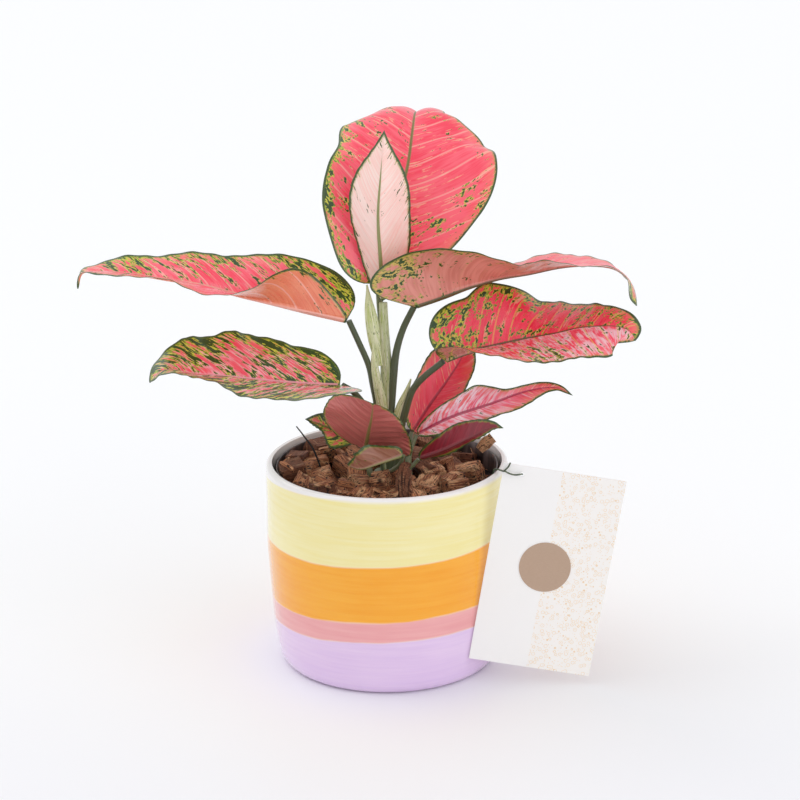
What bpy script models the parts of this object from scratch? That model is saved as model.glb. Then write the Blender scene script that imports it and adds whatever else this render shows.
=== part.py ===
"""Potted Chinese evergreen: a striped ceramic cachepot with a nursery pot inside it, soil, a mulch of
coconut-husk chips, three leafy shoots and a card tied to the rim.

Metres, +Z up. The origin is the centre of the pot's flat base. The front faces -Y.
Leaf and stalk tables are in millimetres and are scaled by MM.
"""

import math
import random

import bmesh
import bpy
import numpy as np
from mathutils import Euler, Matrix, Vector

MM = 0.001
GAP = 0.0003  # clearance between pieces that touch
COLLECTION = "potted_chinese_evergreen"

# Ceramic cachepot: (radius, height) of the outer and inner profile, listed from the rim down
POT_SIDES = 48
POT_OUTER = ((0.0680, 0.1210), (0.0693, 0.1204), (0.0700, 0.1190), (0.0704, 0.0960), (0.0706, 0.0730),
             (0.0697, 0.0550), (0.0688, 0.0400), (0.0678, 0.0260), (0.0658, 0.0110), (0.0643, 0.0045),
             (0.0620, 0.0011), (0.0590, 0.0000))
POT_FLOOR = 0.0060
POT_INNER = ((0.0560, 0.0060), (0.0610, 0.0100), (0.0640, 0.0300), (0.0662, 0.0700),
             (0.0662, 0.1185), (0.0667, 0.1205))

# Nursery pot inside the cachepot
LINER_SIDES = 48
LINER_TOP_RADIUS = 0.0645
LINER_FOOT_RADIUS = 0.0560
LINER_FOOT = 0.0063
LINER_TOP = 0.1180
LINER_WALL = 0.0009

# Soil and husk mulch
SOIL_TOP = 0.0980
MULCH_BED_TOP = 0.1075
MULCH_SEED = 11
CHIP_COUNT = 54
CHIP_SPREAD = 0.0575  # radius of the outermost chip centres
CHIP_LENGTH = (0.013, 0.019)
CHIP_WIDTH = (0.009, 0.014)
CHIP_HEIGHT = (0.009, 0.013)
CHIP_UNEVEN = (0.82, 1.12)
CHIP_TILT = math.radians(28)
CHIP_CLEARANCE = 0.0050  # from a chip's centre to a stem
MULCH_LOW_SIDE = (0.046, 0.036)  # the mulch lies lower towards the back right
MULCH_LOW_DEPTH = 0.0035
MULCH_LOW_REACH = 0.0220
CHIP_CENTRES = 0.1120
CHIP_JITTER = 0.0015

# Stem feet: (x, y, radius) where each shoot passes through the mulch
MAIN_FOOT = (-0.0005, 0.0000, 0.0080)
RIGHT_FOOT = (0.0130, -0.0135, 0.0042)
FRONT_FOOT = (-0.0060, -0.0225, 0.0045)
STEM_FEET = (MAIN_FOOT, RIGHT_FOOT, FRONT_FOOT)
STEM_FOOT_HEIGHT = 0.0500
STEM_TOP_HEIGHT = 0.1135
STEM_TAPER = 0.86
STEM_SIDES = 16

# Card, sticker and tie
CARD_CORNER = (0.0660, -0.0460, 0.1335)  # its upper left corner
CARD_ACROSS = (0.9853, -0.0072, -0.1705)  # unit directions along its upper edge and down its left edge
CARD_DOWN = (-0.1707, -0.0338, -0.9847)
CARD_WIDTH = 0.0698
CARD_HEIGHT = 0.1186
CARD_THICKNESS = 0.0006
CARD_HOLE_AT = (0.0110, 0.0052)  # across and down from the corner
CARD_HOLE_RADIUS = 0.0013
STICKER_AT = (0.0333, 0.0573)
STICKER_RADIUS = 0.0147
STICKER_THICKNESS = 0.0006
STICKER_SIDES = 28
TIE_RADIUS = 0.00045
TIE_SIDES = 6
TIE_MAIN = ((60.5, -24.5, 112.5), (60.6, -24.6, 118.5), (61.2, -24.9, 122), (62.8, -25.6, 122.3),
            (64.8, -26.8, 122.4), (64.2, -36, 125.4), (63.9, -45, 128.5), (64.9, -48.6, 129.4),
            (66.4, -48.9, 129.2), (68.6, -48.6, 127.9), (71.4, -48.6, 127), (74.2, -48.4, 127),
            (75.7, -47.2, 126.9), (76.3, -45, 126))
TIE_FORK = ((65.9, -47.6, 129.1), (68, -48.7, 131.6), (69.4, -48.2, 134.1))

# Leaf blades
BLADE_THICKNESS = 0.85
WIDE_COLUMNS = (0.0, 0.08, 0.30, 0.55, 0.80, 1.0)
NARROW_COLUMNS = (0.0, 0.12, 0.40, 0.72, 1.0)
CURL_STEPS = 8
LOBE_LENGTH = 0.12
SWEEP_POWER = 1.4

# Each leaf, in millimetres and degrees:
#   rib     points along the midrib, from the stalk to the tip
#   up      direction that the upper side faces, at even steps along the rib
#   half    half width at the widest place, which is at "widest" of the length; "blunt" below 1 fills the tip
#   left and right sides: "fold" up from flat, further "curl" out to the edge and "wide", a factor on the
#   half width, each at even steps along the rib; "sweep" of the rows along the rib at the base and beyond it
#   (negative is back past the stalk); "wave" of the edge as its count, phase and height
#   ridge   depth of the midrib under the base
LEAVES = {
    "leaf_top": {
        "rib": ((-3, 6, 224), (2, 12, 245), (8, 22, 266), (14, 34, 287), (17, 50, 304),
                (19, 72, 310), (23, 104, 297), (26, 122, 265)),
        "up": ((0, -1, 0.1), (0, -1, 0.2), (0, -0.95, 0.4), (0, -0.6, 0.9), (0, 0.3, 1)),
        "half": 47, "widest": 0.28, "blunt": 1.6, "ridge": 1.6, "rows": 18, "columns": WIDE_COLUMNS,
        "left": {"fold": (15, 11, 10, 10, 12, 20, 24, 26, 20, 10, 0), "curl":
                  (0, 0, 0, -10, -25, -45, -75, -95, -90, -80, -60), "wide":
                  (0.9, 0.86, 0.94, 0.95, 0.92, 1.02, 0.82, 0.8, 0.9, 0.95, 0.95),
                  "sweep": (-0.35, 0), "wave": (3.5, 0.1, 2)},
        "right": {"fold": (10, 8, 6, 6, 6, 0, 25, 50, 40, 20, 0), "curl":
                  (0, 0, 0, 0, -10, -30, -50, -60, -80, -80, -60), "wide":
                  (0.8, 0.82, 0.93, 1.06, 1.12, 1.05, 0.66, 0.62, 0.7, 0.8, 0.9), "sweep":
                  (-0.25, 0.1), "wave": (3.2, 0.55, 2)},
    },
    "leaf_young": {
        "rib": ((-1, 0, 216), (-2, -5, 241), (-3, -8, 267), (-1, -4, 292), (1, 4, 313)),
        "up": ((0.1, 1, -0.1),),
        "half": 20, "widest": 0.5, "blunt": 1.1, "ridge": 1.0, "rows": 14, "columns": NARROW_COLUMNS,
        "left": {"fold": (35, 25, 20, 25), "curl": (0,), "wide": (1.1, 1, 0.9, 0.75), "sweep":
                  (-0.1, 0.3), "wave": (2, 0.2, 0.8)},
        "right": {"fold": (35, 25, 20, 25), "curl": (0,), "wide": (0.8, 0.9, 0.9, 0.8), "sweep":
                  (-0.1, 0.4), "wave": (2, 0.6, 0.8)},
    },
    "leaf_left_long": {
        "rib": ((-22, -2, 205), (-43, -5, 211), (-65, -9, 218), (-84, -12, 224), (-103, -14, 230),
                (-123, -15, 234), (-145, -16, 238), (-160, -16, 239), (-169, -16, 238),
                (-172, -16, 229)),
        "up": ((0, 0, 1),),
        "half": 34, "widest": 0.26, "blunt": 0.9, "ridge": 1.5, "rows": 18, "columns": WIDE_COLUMNS,
        "left": {"fold": (88, 85, 52, 16, -3, 18, 2, 5, 8), "curl": (20, 20, 10, 0, 0, 0), "wide":
                  (0.45, 0.68, 0.76, 0.76, 0.78, 0.72, 0.65, 0.6, 0.7), "sweep":
                  (0.1, 0.15), "wave": (4, 0.3, 1.4)},
        "right": {"fold": (52, 52, 48, 40, 32, 28, 18, 12), "curl": (-10, -10, 0, 0), "wide":
                  (1.2, 1.15, 1.05, 0.9, 0.84, 0.77, 0.77, 0.74, 0.78, 0.8, 0.9), "sweep":
                  (-0.55, 0.2), "wave": (4, 0.1, 1.4)},
    },
    "leaf_right_high": {
        "rib": ((18, -9, 215), (34, -11, 221), (48, -13, 227), (64, -14, 232), (81, -15, 235),
                (99, -17, 239), (115, -18, 240), (129, -20, 238), (137, -21, 231),
                (141, -22, 217)),
        "up": ((0, 0, 1),),
        "half": 34, "widest": 0.26, "blunt": 0.85, "ridge": 1.5, "rows": 18, "columns": WIDE_COLUMNS,
        "left": {"fold": (12, 8, 0, -2, 2, -8, -12, -10), "curl": (0,), "wide":
                  (1, 1, 1, 0.95, 0.95), "sweep": (-0.5, 0.2), "wave": (4, 0.4, 1.6)},
        "right": {"fold": (82, 76, 46, 26, 20, 12, 8, -20), "curl": (0, 0, 0), "wide":
                  (1.15, 1.05, 0.95, 0.85, 1.1), "sweep": (-1.8, 0.1), "wave":
                  (4, 0.1, 1.2)},
    },
    "leaf_right_mid": {
        "rib": ((34, -14, 184), (47, -17, 190), (58, -19, 193), (80, -23, 199), (97, -26, 203),
                (107, -28, 206), (120, -31, 208), (130, -33, 208), (136, -36, 206),
                (139, -40, 202)),
        "up": ((0, -0.5, 0.87),),
        "half": 37, "widest": 0.26, "blunt": 0.7, "ridge": 1.5, "rows": 18, "columns": WIDE_COLUMNS,
        "left": {"fold": (35, 34, 30, 32, 24, -8, -10, -14, -6, 0, 0), "curl": (0,), "wide":
                  (0.9, 0.95, 0.87, 1, 0.93, 0.93, 1, 0.9, 0.9, 1, 0.85), "sweep":
                  (-0.65, -0.05), "wave": (4, 0.3, 1.2)},
        "right": {"fold": (75, 60, 45, 35, 26, 22, 17, 9, 0, -3, 0), "curl": (0,), "wide":
                  (0.8, 0.86, 0.92, 0.98, 1, 1.02, 1.06, 1.08, 1.12, 1.4, 2), "sweep":
                  (-0.3, 0.1), "wave": (3, 0.2, 1)},
    },
    "leaf_left_low": {
        "rib": ((-26, -14, 170), (-49, -19, 173), (-72, -24, 177), (-94, -28, 181),
                (-109, -30, 183), (-119, -32, 186), (-126, -33, 185), (-132, -34, 179)),
        "up": ((0, -0.2, 1),),
        "half": 31, "widest": 0.34, "blunt": 0.85, "ridge": 1.4, "rows": 18, "columns": WIDE_COLUMNS,
        "left": {"fold": (15, 16, 6, 4, 16, 20, 5), "curl": (0,), "wide":
                  (1, 1.05, 1.1, 1.05, 0.9, 0.78, 0.68, 0.85, 0.85, 0.8, 0.8), "sweep":
                  (-1.4, 0.2), "wave": (3, 0.2, 1.2)},
        "right": {"fold": (25, 25, 26, 26, 24, 15, 0), "curl": (0,), "wide":
                  (1.15, 1.15, 0.97, 0.98, 1.06, 1.06, 1.03, 1.18, 1.24, 1.15, 1.15),
                  "sweep": (-0.3, 0.25), "wave": (4, 0.2, 1.5)},
    },
    "leaf_front": {
        "rib": ((-12, -20, 134), (-10, -29, 147), (-8, -39, 159), (-7, -46, 169)),
        "up": ((0, 1, 0.2), (0, 1, 0.1), (0, 1, -0.1)),
        "half": 27, "widest": 0.4, "blunt": 0.35, "ridge": 0.9, "rows": 12, "columns": NARROW_COLUMNS,
        "left": {"fold": (5, 0, 0, 6), "curl": (0,), "wide": (1.1, 1, 0.9, 0.8), "sweep":
                  (-0.5, -0.5), "wave": (2, 0.2, 1)},
        "right": {"fold": (5, 0, 0, 6), "curl": (0,), "wide": (1, 1, 1.05, 1.1), "sweep":
                  (0.1, 0.4), "wave": (2, 0.5, 1)},
    },
    "leaf_front_small": {
        "rib": ((9, -34, 134), (-4, -41, 132), (-15, -44, 130), (-22, -45, 133)),
        "up": ((0, 0, 1),),
        "half": 13, "widest": 0.5, "blunt": 0.8, "ridge": 0.6, "rows": 10, "columns": NARROW_COLUMNS,
        "left": {"fold": (80, 85, 75, 60), "curl": (0,), "wide": (1, 1, 1), "sweep": (-0.4, 0.5),
                  "wave": (2.5, 0.2, 1.8)},
        "right": {"fold": (50, 45, 40), "curl": (0,), "wide": (0.9,), "sweep": (-0.2, 0.3),
                  "wave": (2.5, 0.4, 1.2)},
    },
    "leaf_back_pink": {
        "rib": ((15, -2, 138), (25, 6, 151), (36, 12, 165), (44, 16, 177), (48, 18, 188)),
        "up": ((0, -1, 0.3),),
        "half": 18, "widest": 0.5, "blunt": 0.8, "ridge": 0.8, "rows": 10, "columns": NARROW_COLUMNS,
        "left": {"fold": (25, 18, 15), "curl": (0,), "wide": (1,), "sweep": (-0.2, 0.4), "wave":
                  (3, 0.2, 0.8)},
        "right": {"fold": (25, 18, 15), "curl": (0,), "wide": (1, 0.9, 0.7, 0.65, 0.7), "sweep":
                  (-0.2, 0.4), "wave": (3, 0.5, 0.8)},
    },
    "leaf_right_low": {
        "rib": ((18, -10, 139), (36, -18, 151), (59, -24, 161), (81, -28, 170), (96, -30, 172),
                (105, -32, 168)),
        "up": ((0, -0.8, 0.6),),
        "half": 14, "widest": 0.42, "blunt": 0.95, "ridge": 0.8, "rows": 10, "columns": NARROW_COLUMNS,
        "left": {"fold": (25, 12, 10, 10), "curl": (0,), "wide":
                  (0.7, 0.7, 0.75, 0.8, 0.92, 0.68, 0.38, 0.34, 0.45, 0.5, 0.6), "sweep":
                  (-0.2, 0.35), "wave": (3, 0.2, 1)},
        "right": {"fold": (15, 5, 0, 0), "curl": (0,), "wide":
                  (0.6, 0.68, 0.75, 0.72, 0.62, 0.6, 0.72, 0.66, 0.48, 0.4, 0.5), "sweep":
                  (-0.2, 0.4), "wave": (3, 0.5, 1)},
    },
    "leaf_crimson": {
        "rib": ((19, -16, 126), (33, -24, 134), (47, -30, 143), (59, -33, 150), (66, -34, 150)),
        "up": ((0, 1, 0.3),),
        "half": 12, "widest": 0.45, "blunt": 1.0, "ridge": 0.7, "rows": 10, "columns": NARROW_COLUMNS,
        "left": {"fold": (15,), "curl": (0,), "wide": (0.5, 0.4, 0.4, 0.5), "sweep": (-0.2, 0.5),
                  "wave": (2, 0.2, 0.8)},
        "right": {"fold": (20,), "curl": (0,), "wide": (0.8, 0.9, 0.7), "sweep": (-0.2, 0.5),
                  "wave": (2, 0.5, 0.8)},
    },
    "leaf_left_small": {
        "rib": ((-17, -14, 138), (-29, -17, 144), (-39, -19, 149), (-46, -20, 152)),
        "up": ((0, -0.7, 0.7),),
        "half": 9, "widest": 0.4, "blunt": 1.0, "ridge": 0.5, "rows": 10, "columns": NARROW_COLUMNS,
        "left": {"fold": (10,), "curl": (0,), "wide": (1, 1.4, 0.5, 0.5), "sweep": (-0.2, 0.4),
                  "wave": (2, 0.2, 0.8)},
        "right": {"fold": (20,), "curl": (0,), "wide": (0.9,), "sweep": (-0.2, 0.4), "wave":
                  (2, 0.5, 0.8)},
    },
}

# Green stalks and sheaths, in millimetres: points from top to bottom, then the radii across and front to back
# at even steps
MAIN_STALKS = (
    {"points": ((-20.6, -1.8, 204.6), (-15, -1, 191.1), (-9.6, 0, 177.1), (-7.4, 0, 165.6),
        (-5.3, 1, 153.8), (-2.7, 2, 131.6), (-0.7, 2, 109.4), (-0.2, 2, 97)), "across":
        (1.7, 1.9, 2.4, 3.2), "deep": (1.7, 1.9, 2.3, 3), "sides": 8, "steps": 10},
    {"points": ((16.6, -8.8, 214.5), (10.2, -4, 200), (6.3, -2, 186.4), (4.5, -1, 171.8), (2.8, 0, 154),
        (0.8, 0, 132.2), (2.8, 0, 110.1), (2.1, 0, 97.7)), "across": (1.8, 2.2, 2.8, 3.6), "deep":
        (1.8, 2.1, 2.6, 3.2), "sides": 8, "steps": 10},
    {"points": ((-0.9, 0.3, 214.5), (-0.4, 0, 194.2), (0.4, 1, 174.2), (-0.1, 1, 153.8),
        (-0.4, 2, 131.5), (1.1, 2, 109.4), (0.3, 1, 97.4)), "across": (2.4, 3.4, 4.2, 5), "deep":
        (2, 3, 3.6, 4.4), "sides": 8, "steps": 10},
    {"points": ((-3.3, 5.6, 222.6), (-2.8, 7, 211.3), (-1.8, 6, 199.7), (-0.9, 4, 185.3),
        (0.1, 2, 167.9)), "across": (1.9, 2.2, 2.6), "deep": (1.9, 2.2, 2.6), "sides": 8, "steps":
        10},
    {"points": ((32.7, -13.7, 183.4), (30.9, -13, 181.6), (22.4, -10, 173.7), (15.5, -7, 164.8),
        (10.8, -4, 149.8), (6.6, -1, 132.5), (4.6, -1, 110.4), (2.7, -1, 98.1)), "across":
        (1.8, 2, 2.4, 3), "deep": (1.8, 2, 2.3, 2.8), "sides": 8, "steps": 10},
    {"points": ((-24.5, -13.7, 169.8), (-19.3, -11, 165.6), (-12.7, -5, 155.2), (-7.2, 0, 138.4),
        (-3.4, 1, 124.6), (-0.7, 1, 109.8), (-0.2, 1, 97.4)), "across": (1.7, 2, 2.4), "deep":
        (1.7, 2, 2.4), "sides": 8, "steps": 10},
    {"points": ((-10, 1, 224.8), (-8.5, 1, 210), (-5.9, 0, 194.3), (-2.7, 0, 177.6)), "across":
        (0.5, 3.2, 4.2, 3), "deep": (0.5, 1, 1.3, 1.6), "sides": 8, "steps": 8},
    {"points": ((-7, -2, 191.3), (-6.4, -2, 178.2), (-4.5, -2, 166.2), (-2.4, -1, 154.4),
        (-1.4, 0, 141.4)), "across": (0.5, 2, 2.8, 3.4, 3.6), "deep": (0.5, 1, 1.6, 2.2, 2.6),
        "sides": 8, "steps": 8},
    {"points": ((14.4, -4, 170.2), (11.8, -4, 162.4), (8.5, -3, 153.7), (5.5, -1, 141.6)), "across":
        (0.5, 1.9, 2.8, 3.4), "deep": (0.5, 1.1, 1.8, 2.4), "sides": 8, "steps": 7},
)
RIGHT_STALKS = (
    {"points": ((14.5, -2.4, 137.4), (13.5, -6, 134), (12.3, -10, 128.1), (12.1, -13, 118.2),
        (12.6, -13.5, 104.9)), "across": (1.1, 1.6, 2.2), "deep": (1.1, 1.6, 2.2), "sides": 8,
        "steps": 7},
    {"points": ((17.3, -9.7, 138.5), (15.2, -11, 133.9), (12.8, -13, 126.7), (12.7, -13.5, 117.1),
        (12.9, -13.5, 104.9)), "across": (1.2, 1.7, 2.2), "deep": (1.2, 1.7, 2.2), "sides": 8,
        "steps": 7},
    {"points": ((18.3, -15.6, 125.6), (16.2, -15, 123.1), (13.3, -14, 118.5), (12.7, -13.5, 112.3),
        (12.9, -13.5, 104.9)), "across": (1.1, 1.5, 2), "deep": (1.1, 1.5, 2), "sides": 8, "steps":
        6},
)
FRONT_STALKS = (
    {"points": ((-12.1, -19.5, 133.3), (-11.2, -20, 128.2), (-10.2, -22, 122.8), (-8, -22.5, 114.5),
        (-7, -22.5, 104.1)), "across": (1.3, 1.8, 2.4), "deep": (1.2, 1.7, 2.3), "sides": 8,
        "steps": 7},
    {"points": ((9.8, -33.6, 134.1), (7.6, -30, 127.8), (1.8, -26, 121.6), (-5.1, -23, 114.6),
        (-6.4, -22.5, 104.1)), "across": (1, 1.4, 2), "deep": (1, 1.4, 2), "sides": 8, "steps": 8},
    {"points": ((-16.2, -13.8, 137.6), (-14.1, -15, 132.6), (-10.7, -19, 126.6), (-8.6, -22, 115.5),
        (-7, -22.5, 104.1)), "across": (0.9, 1.3, 2), "deep": (0.9, 1.3, 2), "sides": 8, "steps":
        7},
)

COLOURS = {
    "pot": ((0.90, 0.86, 0.45), 0.15),
    "grow_pot": ((0.03, 0.025, 0.03), 0.45),
    "soil": ((0.06, 0.035, 0.02), 0.95),
    "husk_mulch": ((0.30, 0.12, 0.05), 0.9),
    "stalk": ((0.07, 0.12, 0.05), 0.45),
    "leaf": ((0.80, 0.08, 0.14), 0.4),
    "young_leaf": ((0.85, 0.55, 0.45), 0.4),
    "underside": ((0.40, 0.09, 0.08), 0.5),
    "card": ((0.90, 0.90, 0.90), 0.6),
    "sticker": ((0.42, 0.28, 0.18), 0.8),
    "tie": ((0.03, 0.06, 0.03), 0.4),
}
LEAF_COLOURS = {"leaf_young": "young_leaf", "leaf_front": "underside", "leaf_front_small": "underside",
                "leaf_crimson": "underside"}


# ---------------------------------------------------------------- scene helpers

def clear_scene():
    for obj in list(bpy.data.objects):
        bpy.data.objects.remove(obj, do_unlink=True)


def new_collection(name, hidden=False):
    collection = bpy.data.collections.new(name)
    bpy.context.scene.collection.children.link(collection)
    collection.hide_render = hidden
    return collection


def material(name):
    found = bpy.data.materials.get(name)
    if found:
        return found
    colour, roughness = COLOURS[name]
    made = bpy.data.materials.new(name)
    made.use_nodes = True
    shader = made.node_tree.nodes["Principled BSDF"]
    shader.inputs["Base Color"].default_value = (*colour, 1.0)
    shader.inputs["Roughness"].default_value = roughness
    return made


def mesh_object(name, points, faces, collection, look=None):
    mesh = bpy.data.meshes.new(name)
    mesh.from_pydata([tuple(map(float, p)) for p in points], [], [tuple(map(int, f)) for f in faces])
    mesh.update()
    obj = bpy.data.objects.new(name, mesh)
    collection.objects.link(obj)
    if look:
        mesh.materials.append(material(look))
    return obj


def apply_modifiers(obj):
    """Replaces the object's mesh by its evaluated one."""
    graph = bpy.context.evaluated_depsgraph_get()
    mesh = bpy.data.meshes.new_from_object(obj.evaluated_get(graph))
    obj.modifiers.clear()
    old = obj.data
    obj.data = mesh
    bpy.data.meshes.remove(old)


def fuse(body, others):
    """Unites the body with the other objects and removes them."""
    group = bpy.data.collections.new(body.name + "_fused")
    for other in others:
        group.objects.link(other)
    union = body.modifiers.new("fuse", "BOOLEAN")
    union.operation = "UNION"
    union.operand_type = "COLLECTION"
    union.collection = group
    union.solver = "MANIFOLD"
    apply_modifiers(body)
    for other in others:
        bpy.data.objects.remove(other, do_unlink=True)
    bpy.data.collections.remove(group)
    return body


def boolean(body, tool, operation):
    """Applies one Boolean with the tool and removes it."""
    modifier = body.modifiers.new(operation.lower(), "BOOLEAN")
    modifier.operation = operation
    modifier.object = tool
    modifier.solver = "MANIFOLD"
    apply_modifiers(body)
    bpy.data.objects.remove(tool, do_unlink=True)
    return body


def keep_largest_shell(obj):
    """Drops the sealed cavities and the crumbs that Booleans leave among fused chips."""
    mesh = bmesh.new()
    mesh.from_mesh(obj.data)
    waiting = set(mesh.faces)
    shells = []
    while waiting:
        shell = set()
        edge_of_shell = [waiting.pop()]
        while edge_of_shell:
            face = edge_of_shell.pop()
            shell.add(face)
            for neighbour in (other for edge in face.edges for other in edge.link_faces):
                if neighbour in waiting:
                    waiting.remove(neighbour)
                    edge_of_shell.append(neighbour)
        shells.append(shell)
    shells.sort(key=len)
    crumbs = [face for shell in shells[:-1] for face in shell]
    bmesh.ops.delete(mesh, geom=crumbs, context="FACES")
    mesh.to_mesh(obj.data)
    mesh.free()


def screw(name, profile, sides, collection, look):
    """Turns a closed (radius, height) profile about Z, listed down the outer side first."""
    points = [(radius, 0.0, height) for radius, height in profile]
    edges = [(i, i + 1) for i in range(len(points) - 1)]
    mesh = bpy.data.meshes.new(name)
    mesh.from_pydata(points, edges, [])
    mesh.materials.append(material(look))
    obj = bpy.data.objects.new(name, mesh)
    collection.objects.link(obj)
    turn = obj.modifiers.new("turn", "SCREW")
    turn.axis = "Z"
    turn.steps = sides
    turn.render_steps = sides
    turn.use_merge_vertices = True
    turn.merge_threshold = 0.00001
    turn.use_smooth_shade = False
    return obj


def cone(name, foot_radius, top_radius, foot, top, sides, collection, at=(0.0, 0.0), look=None):
    """A closed cone or cylinder that stands on Z."""
    points = []
    for radius, height in ((foot_radius, foot), (top_radius, top)):
        for i in range(sides):
            turn = math.tau * i / sides
            points.append((at[0] + radius * math.cos(turn), at[1] + radius * math.sin(turn), height))
    faces = [(i, (i + 1) % sides, sides + (i + 1) % sides, sides + i) for i in range(sides)]
    faces.append(tuple(reversed(range(sides))))
    faces.append(tuple(range(sides, 2 * sides)))
    return mesh_object(name, points, faces, collection, look)


# ---------------------------------------------------------------- curves and lofts

def unit(vectors):
    return vectors / np.linalg.norm(vectors, axis=-1, keepdims=True)


def smooth_curve(points, count):
    """count + 1 points, evenly spaced along the centripetal Catmull-Rom curve through the given ones."""
    knots = np.array(points, float)
    knots = np.vstack([2 * knots[0] - knots[1], knots, 2 * knots[-1] - knots[-2]])
    pieces = []
    for a, b, c, d in zip(knots, knots[1:], knots[2:], knots[3:]):
        t1 = np.linalg.norm(b - a) ** 0.5
        t2 = t1 + np.linalg.norm(c - b) ** 0.5
        t3 = t2 + np.linalg.norm(d - c) ** 0.5
        t = np.linspace(t1, t2, 40, endpoint=False)[:, None]
        ab = (t1 - t) / t1 * a + t / t1 * b
        bc = (t2 - t) / (t2 - t1) * b + (t - t1) / (t2 - t1) * c
        cd = (t3 - t) / (t3 - t2) * c + (t - t2) / (t3 - t2) * d
        abc = (t2 - t) / t2 * ab + t / t2 * bc
        bcd = (t3 - t) / (t3 - t1) * bc + (t - t1) / (t3 - t1) * cd
        pieces.append((t2 - t) / (t2 - t1) * abc + (t - t1) / (t2 - t1) * bcd)
    dense = np.vstack(pieces + [knots[-2][None]])
    length = np.r_[0, np.cumsum(np.linalg.norm(np.diff(dense, axis=0), axis=1))]
    even = np.linspace(0, length[-1], count + 1)
    return np.stack([np.interp(even, length, dense[:, axis]) for axis in range(3)], -1)


def along(values, u):
    """Values given at even steps from 0 to 1, read on a smooth curve at u."""
    values = np.atleast_1d(np.array(values, float))
    if len(values) == 1:
        return np.full(np.shape(u), values[0])
    knots = np.concatenate([values[:1], values, values[-1:]])
    place = np.asarray(u) * (len(values) - 1)
    first = np.clip(place.astype(int), 0, len(values) - 2)
    part = place - first
    a, b, c, d = (knots[first + i] for i in range(4))
    squared = (a - 2.5 * b + 2 * c - d / 2) * part ** 2
    cubed = (1.5 * (b - c) + (d - a) / 2) * part ** 3
    return b + (c - a) / 2 * part + squared + cubed


def tube(name, points, across, deep, sides, steps, collection, facing=(0, 1, 0)):
    """A closed tube in millimetres through the points, with elliptic sections."""
    path = smooth_curve(points, steps)
    tangent = unit(np.gradient(path, axis=0))
    u = np.linspace(0, 1, steps + 1)
    back = np.array(facing, float) - tangent * (tangent @ np.array(facing, float))[:, None]
    back = unit(back)
    side = np.cross(back, tangent)
    turn = np.arange(sides) * math.tau / sides
    ring = (side[:, None] * (along(across, u)[:, None, None] * np.cos(turn)[None, :, None])
            + back[:, None] * (along(deep, u)[:, None, None] * np.sin(turn)[None, :, None]))
    rings = (path[:, None] + ring).reshape(-1, 3) * MM
    faces = []
    for row in range(steps):
        for i in range(sides):
            a = row * sides + i
            b = row * sides + (i + 1) % sides
            faces.append((a, b, b + sides, a + sides))
    faces.append(tuple(reversed(range(sides))))
    faces.append(tuple(range(steps * sides, (steps + 1) * sides)))
    return mesh_object(name, rings, faces, collection)


# ---------------------------------------------------------------- leaf blades

def half_width(u, widest, blunt):
    """0 to 1: a round base, the widest place, then a taper to the tip."""
    rising = np.clip(u / widest, 0, 1)
    falling = np.clip((u - widest) / (1 - widest), 0, 1)
    base = np.sqrt(np.clip(1 - (1 - rising) ** 2, 0, 1))
    tip = np.cos(math.pi / 2 * falling ** 1.15) ** blunt
    return np.where(u < widest, base, tip)


def blade_grid(leaf, rows, columns):
    """Points (rows + 1, 2 * columns - 1, 3) of the blade's middle surface in millimetres, and its normals."""
    u = np.linspace(0, 1, rows + 1)
    rib = smooth_curve(leaf["rib"], rows)
    tangent = unit(np.gradient(rib, axis=0))
    up = np.stack([along([way[axis] for way in leaf["up"]], u) for axis in range(3)], -1)
    normal = unit(up - tangent * (up * tangent).sum(1, keepdims=True))
    across = np.cross(tangent, normal)
    width = leaf["half"] * half_width(u, leaf["widest"], leaf["blunt"])
    waving = np.sin(math.pi * u) ** 0.5
    middle = len(columns) - 1
    grid = np.zeros((rows + 1, 2 * middle + 1, 3))
    normals = np.zeros_like(grid)
    for sign, side in ((-1, leaf["left"]), (1, leaf["right"])):
        fold = np.radians(along(side["fold"], u))
        curl = np.radians(along(side["curl"], u))
        reach = width * along(side["wide"], u)
        count, phase, height = side["wave"]
        base, beyond = side["sweep"]
        sweep = base + (beyond - base) * (1 - np.exp(-u / LOBE_LENGTH))
        for column, v in enumerate(columns):
            parts = (np.arange(CURL_STEPS) + 0.5) / CURL_STEPS * v
            angles = fold[:, None] + curl[:, None] * parts[None]
            out = np.cos(angles).mean(1) * v
            lift = np.sin(angles).mean(1) * v
            place = rib + reach[:, None] * (sign * across * out[:, None] + normal * lift[:, None])
            place += tangent * (reach * sweep * v ** SWEEP_POWER)[:, None]
            angle = fold + curl * v
            facing = -sign * across * np.sin(angle)[:, None] + normal * np.cos(angle)[:, None]
            wave = height * np.sin(math.tau * (count * u + phase)) * v ** 2 * waving
            grid[:, middle + sign * column] = place + facing * wave[:, None]
            normals[:, middle + sign * column] = facing
    normals[:, middle] = normal
    grid[0] = rib[0]
    grid[-1] = rib[-1]
    normals[0] = normal[0]
    normals[-1] = normal[-1]
    return grid, normals


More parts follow.
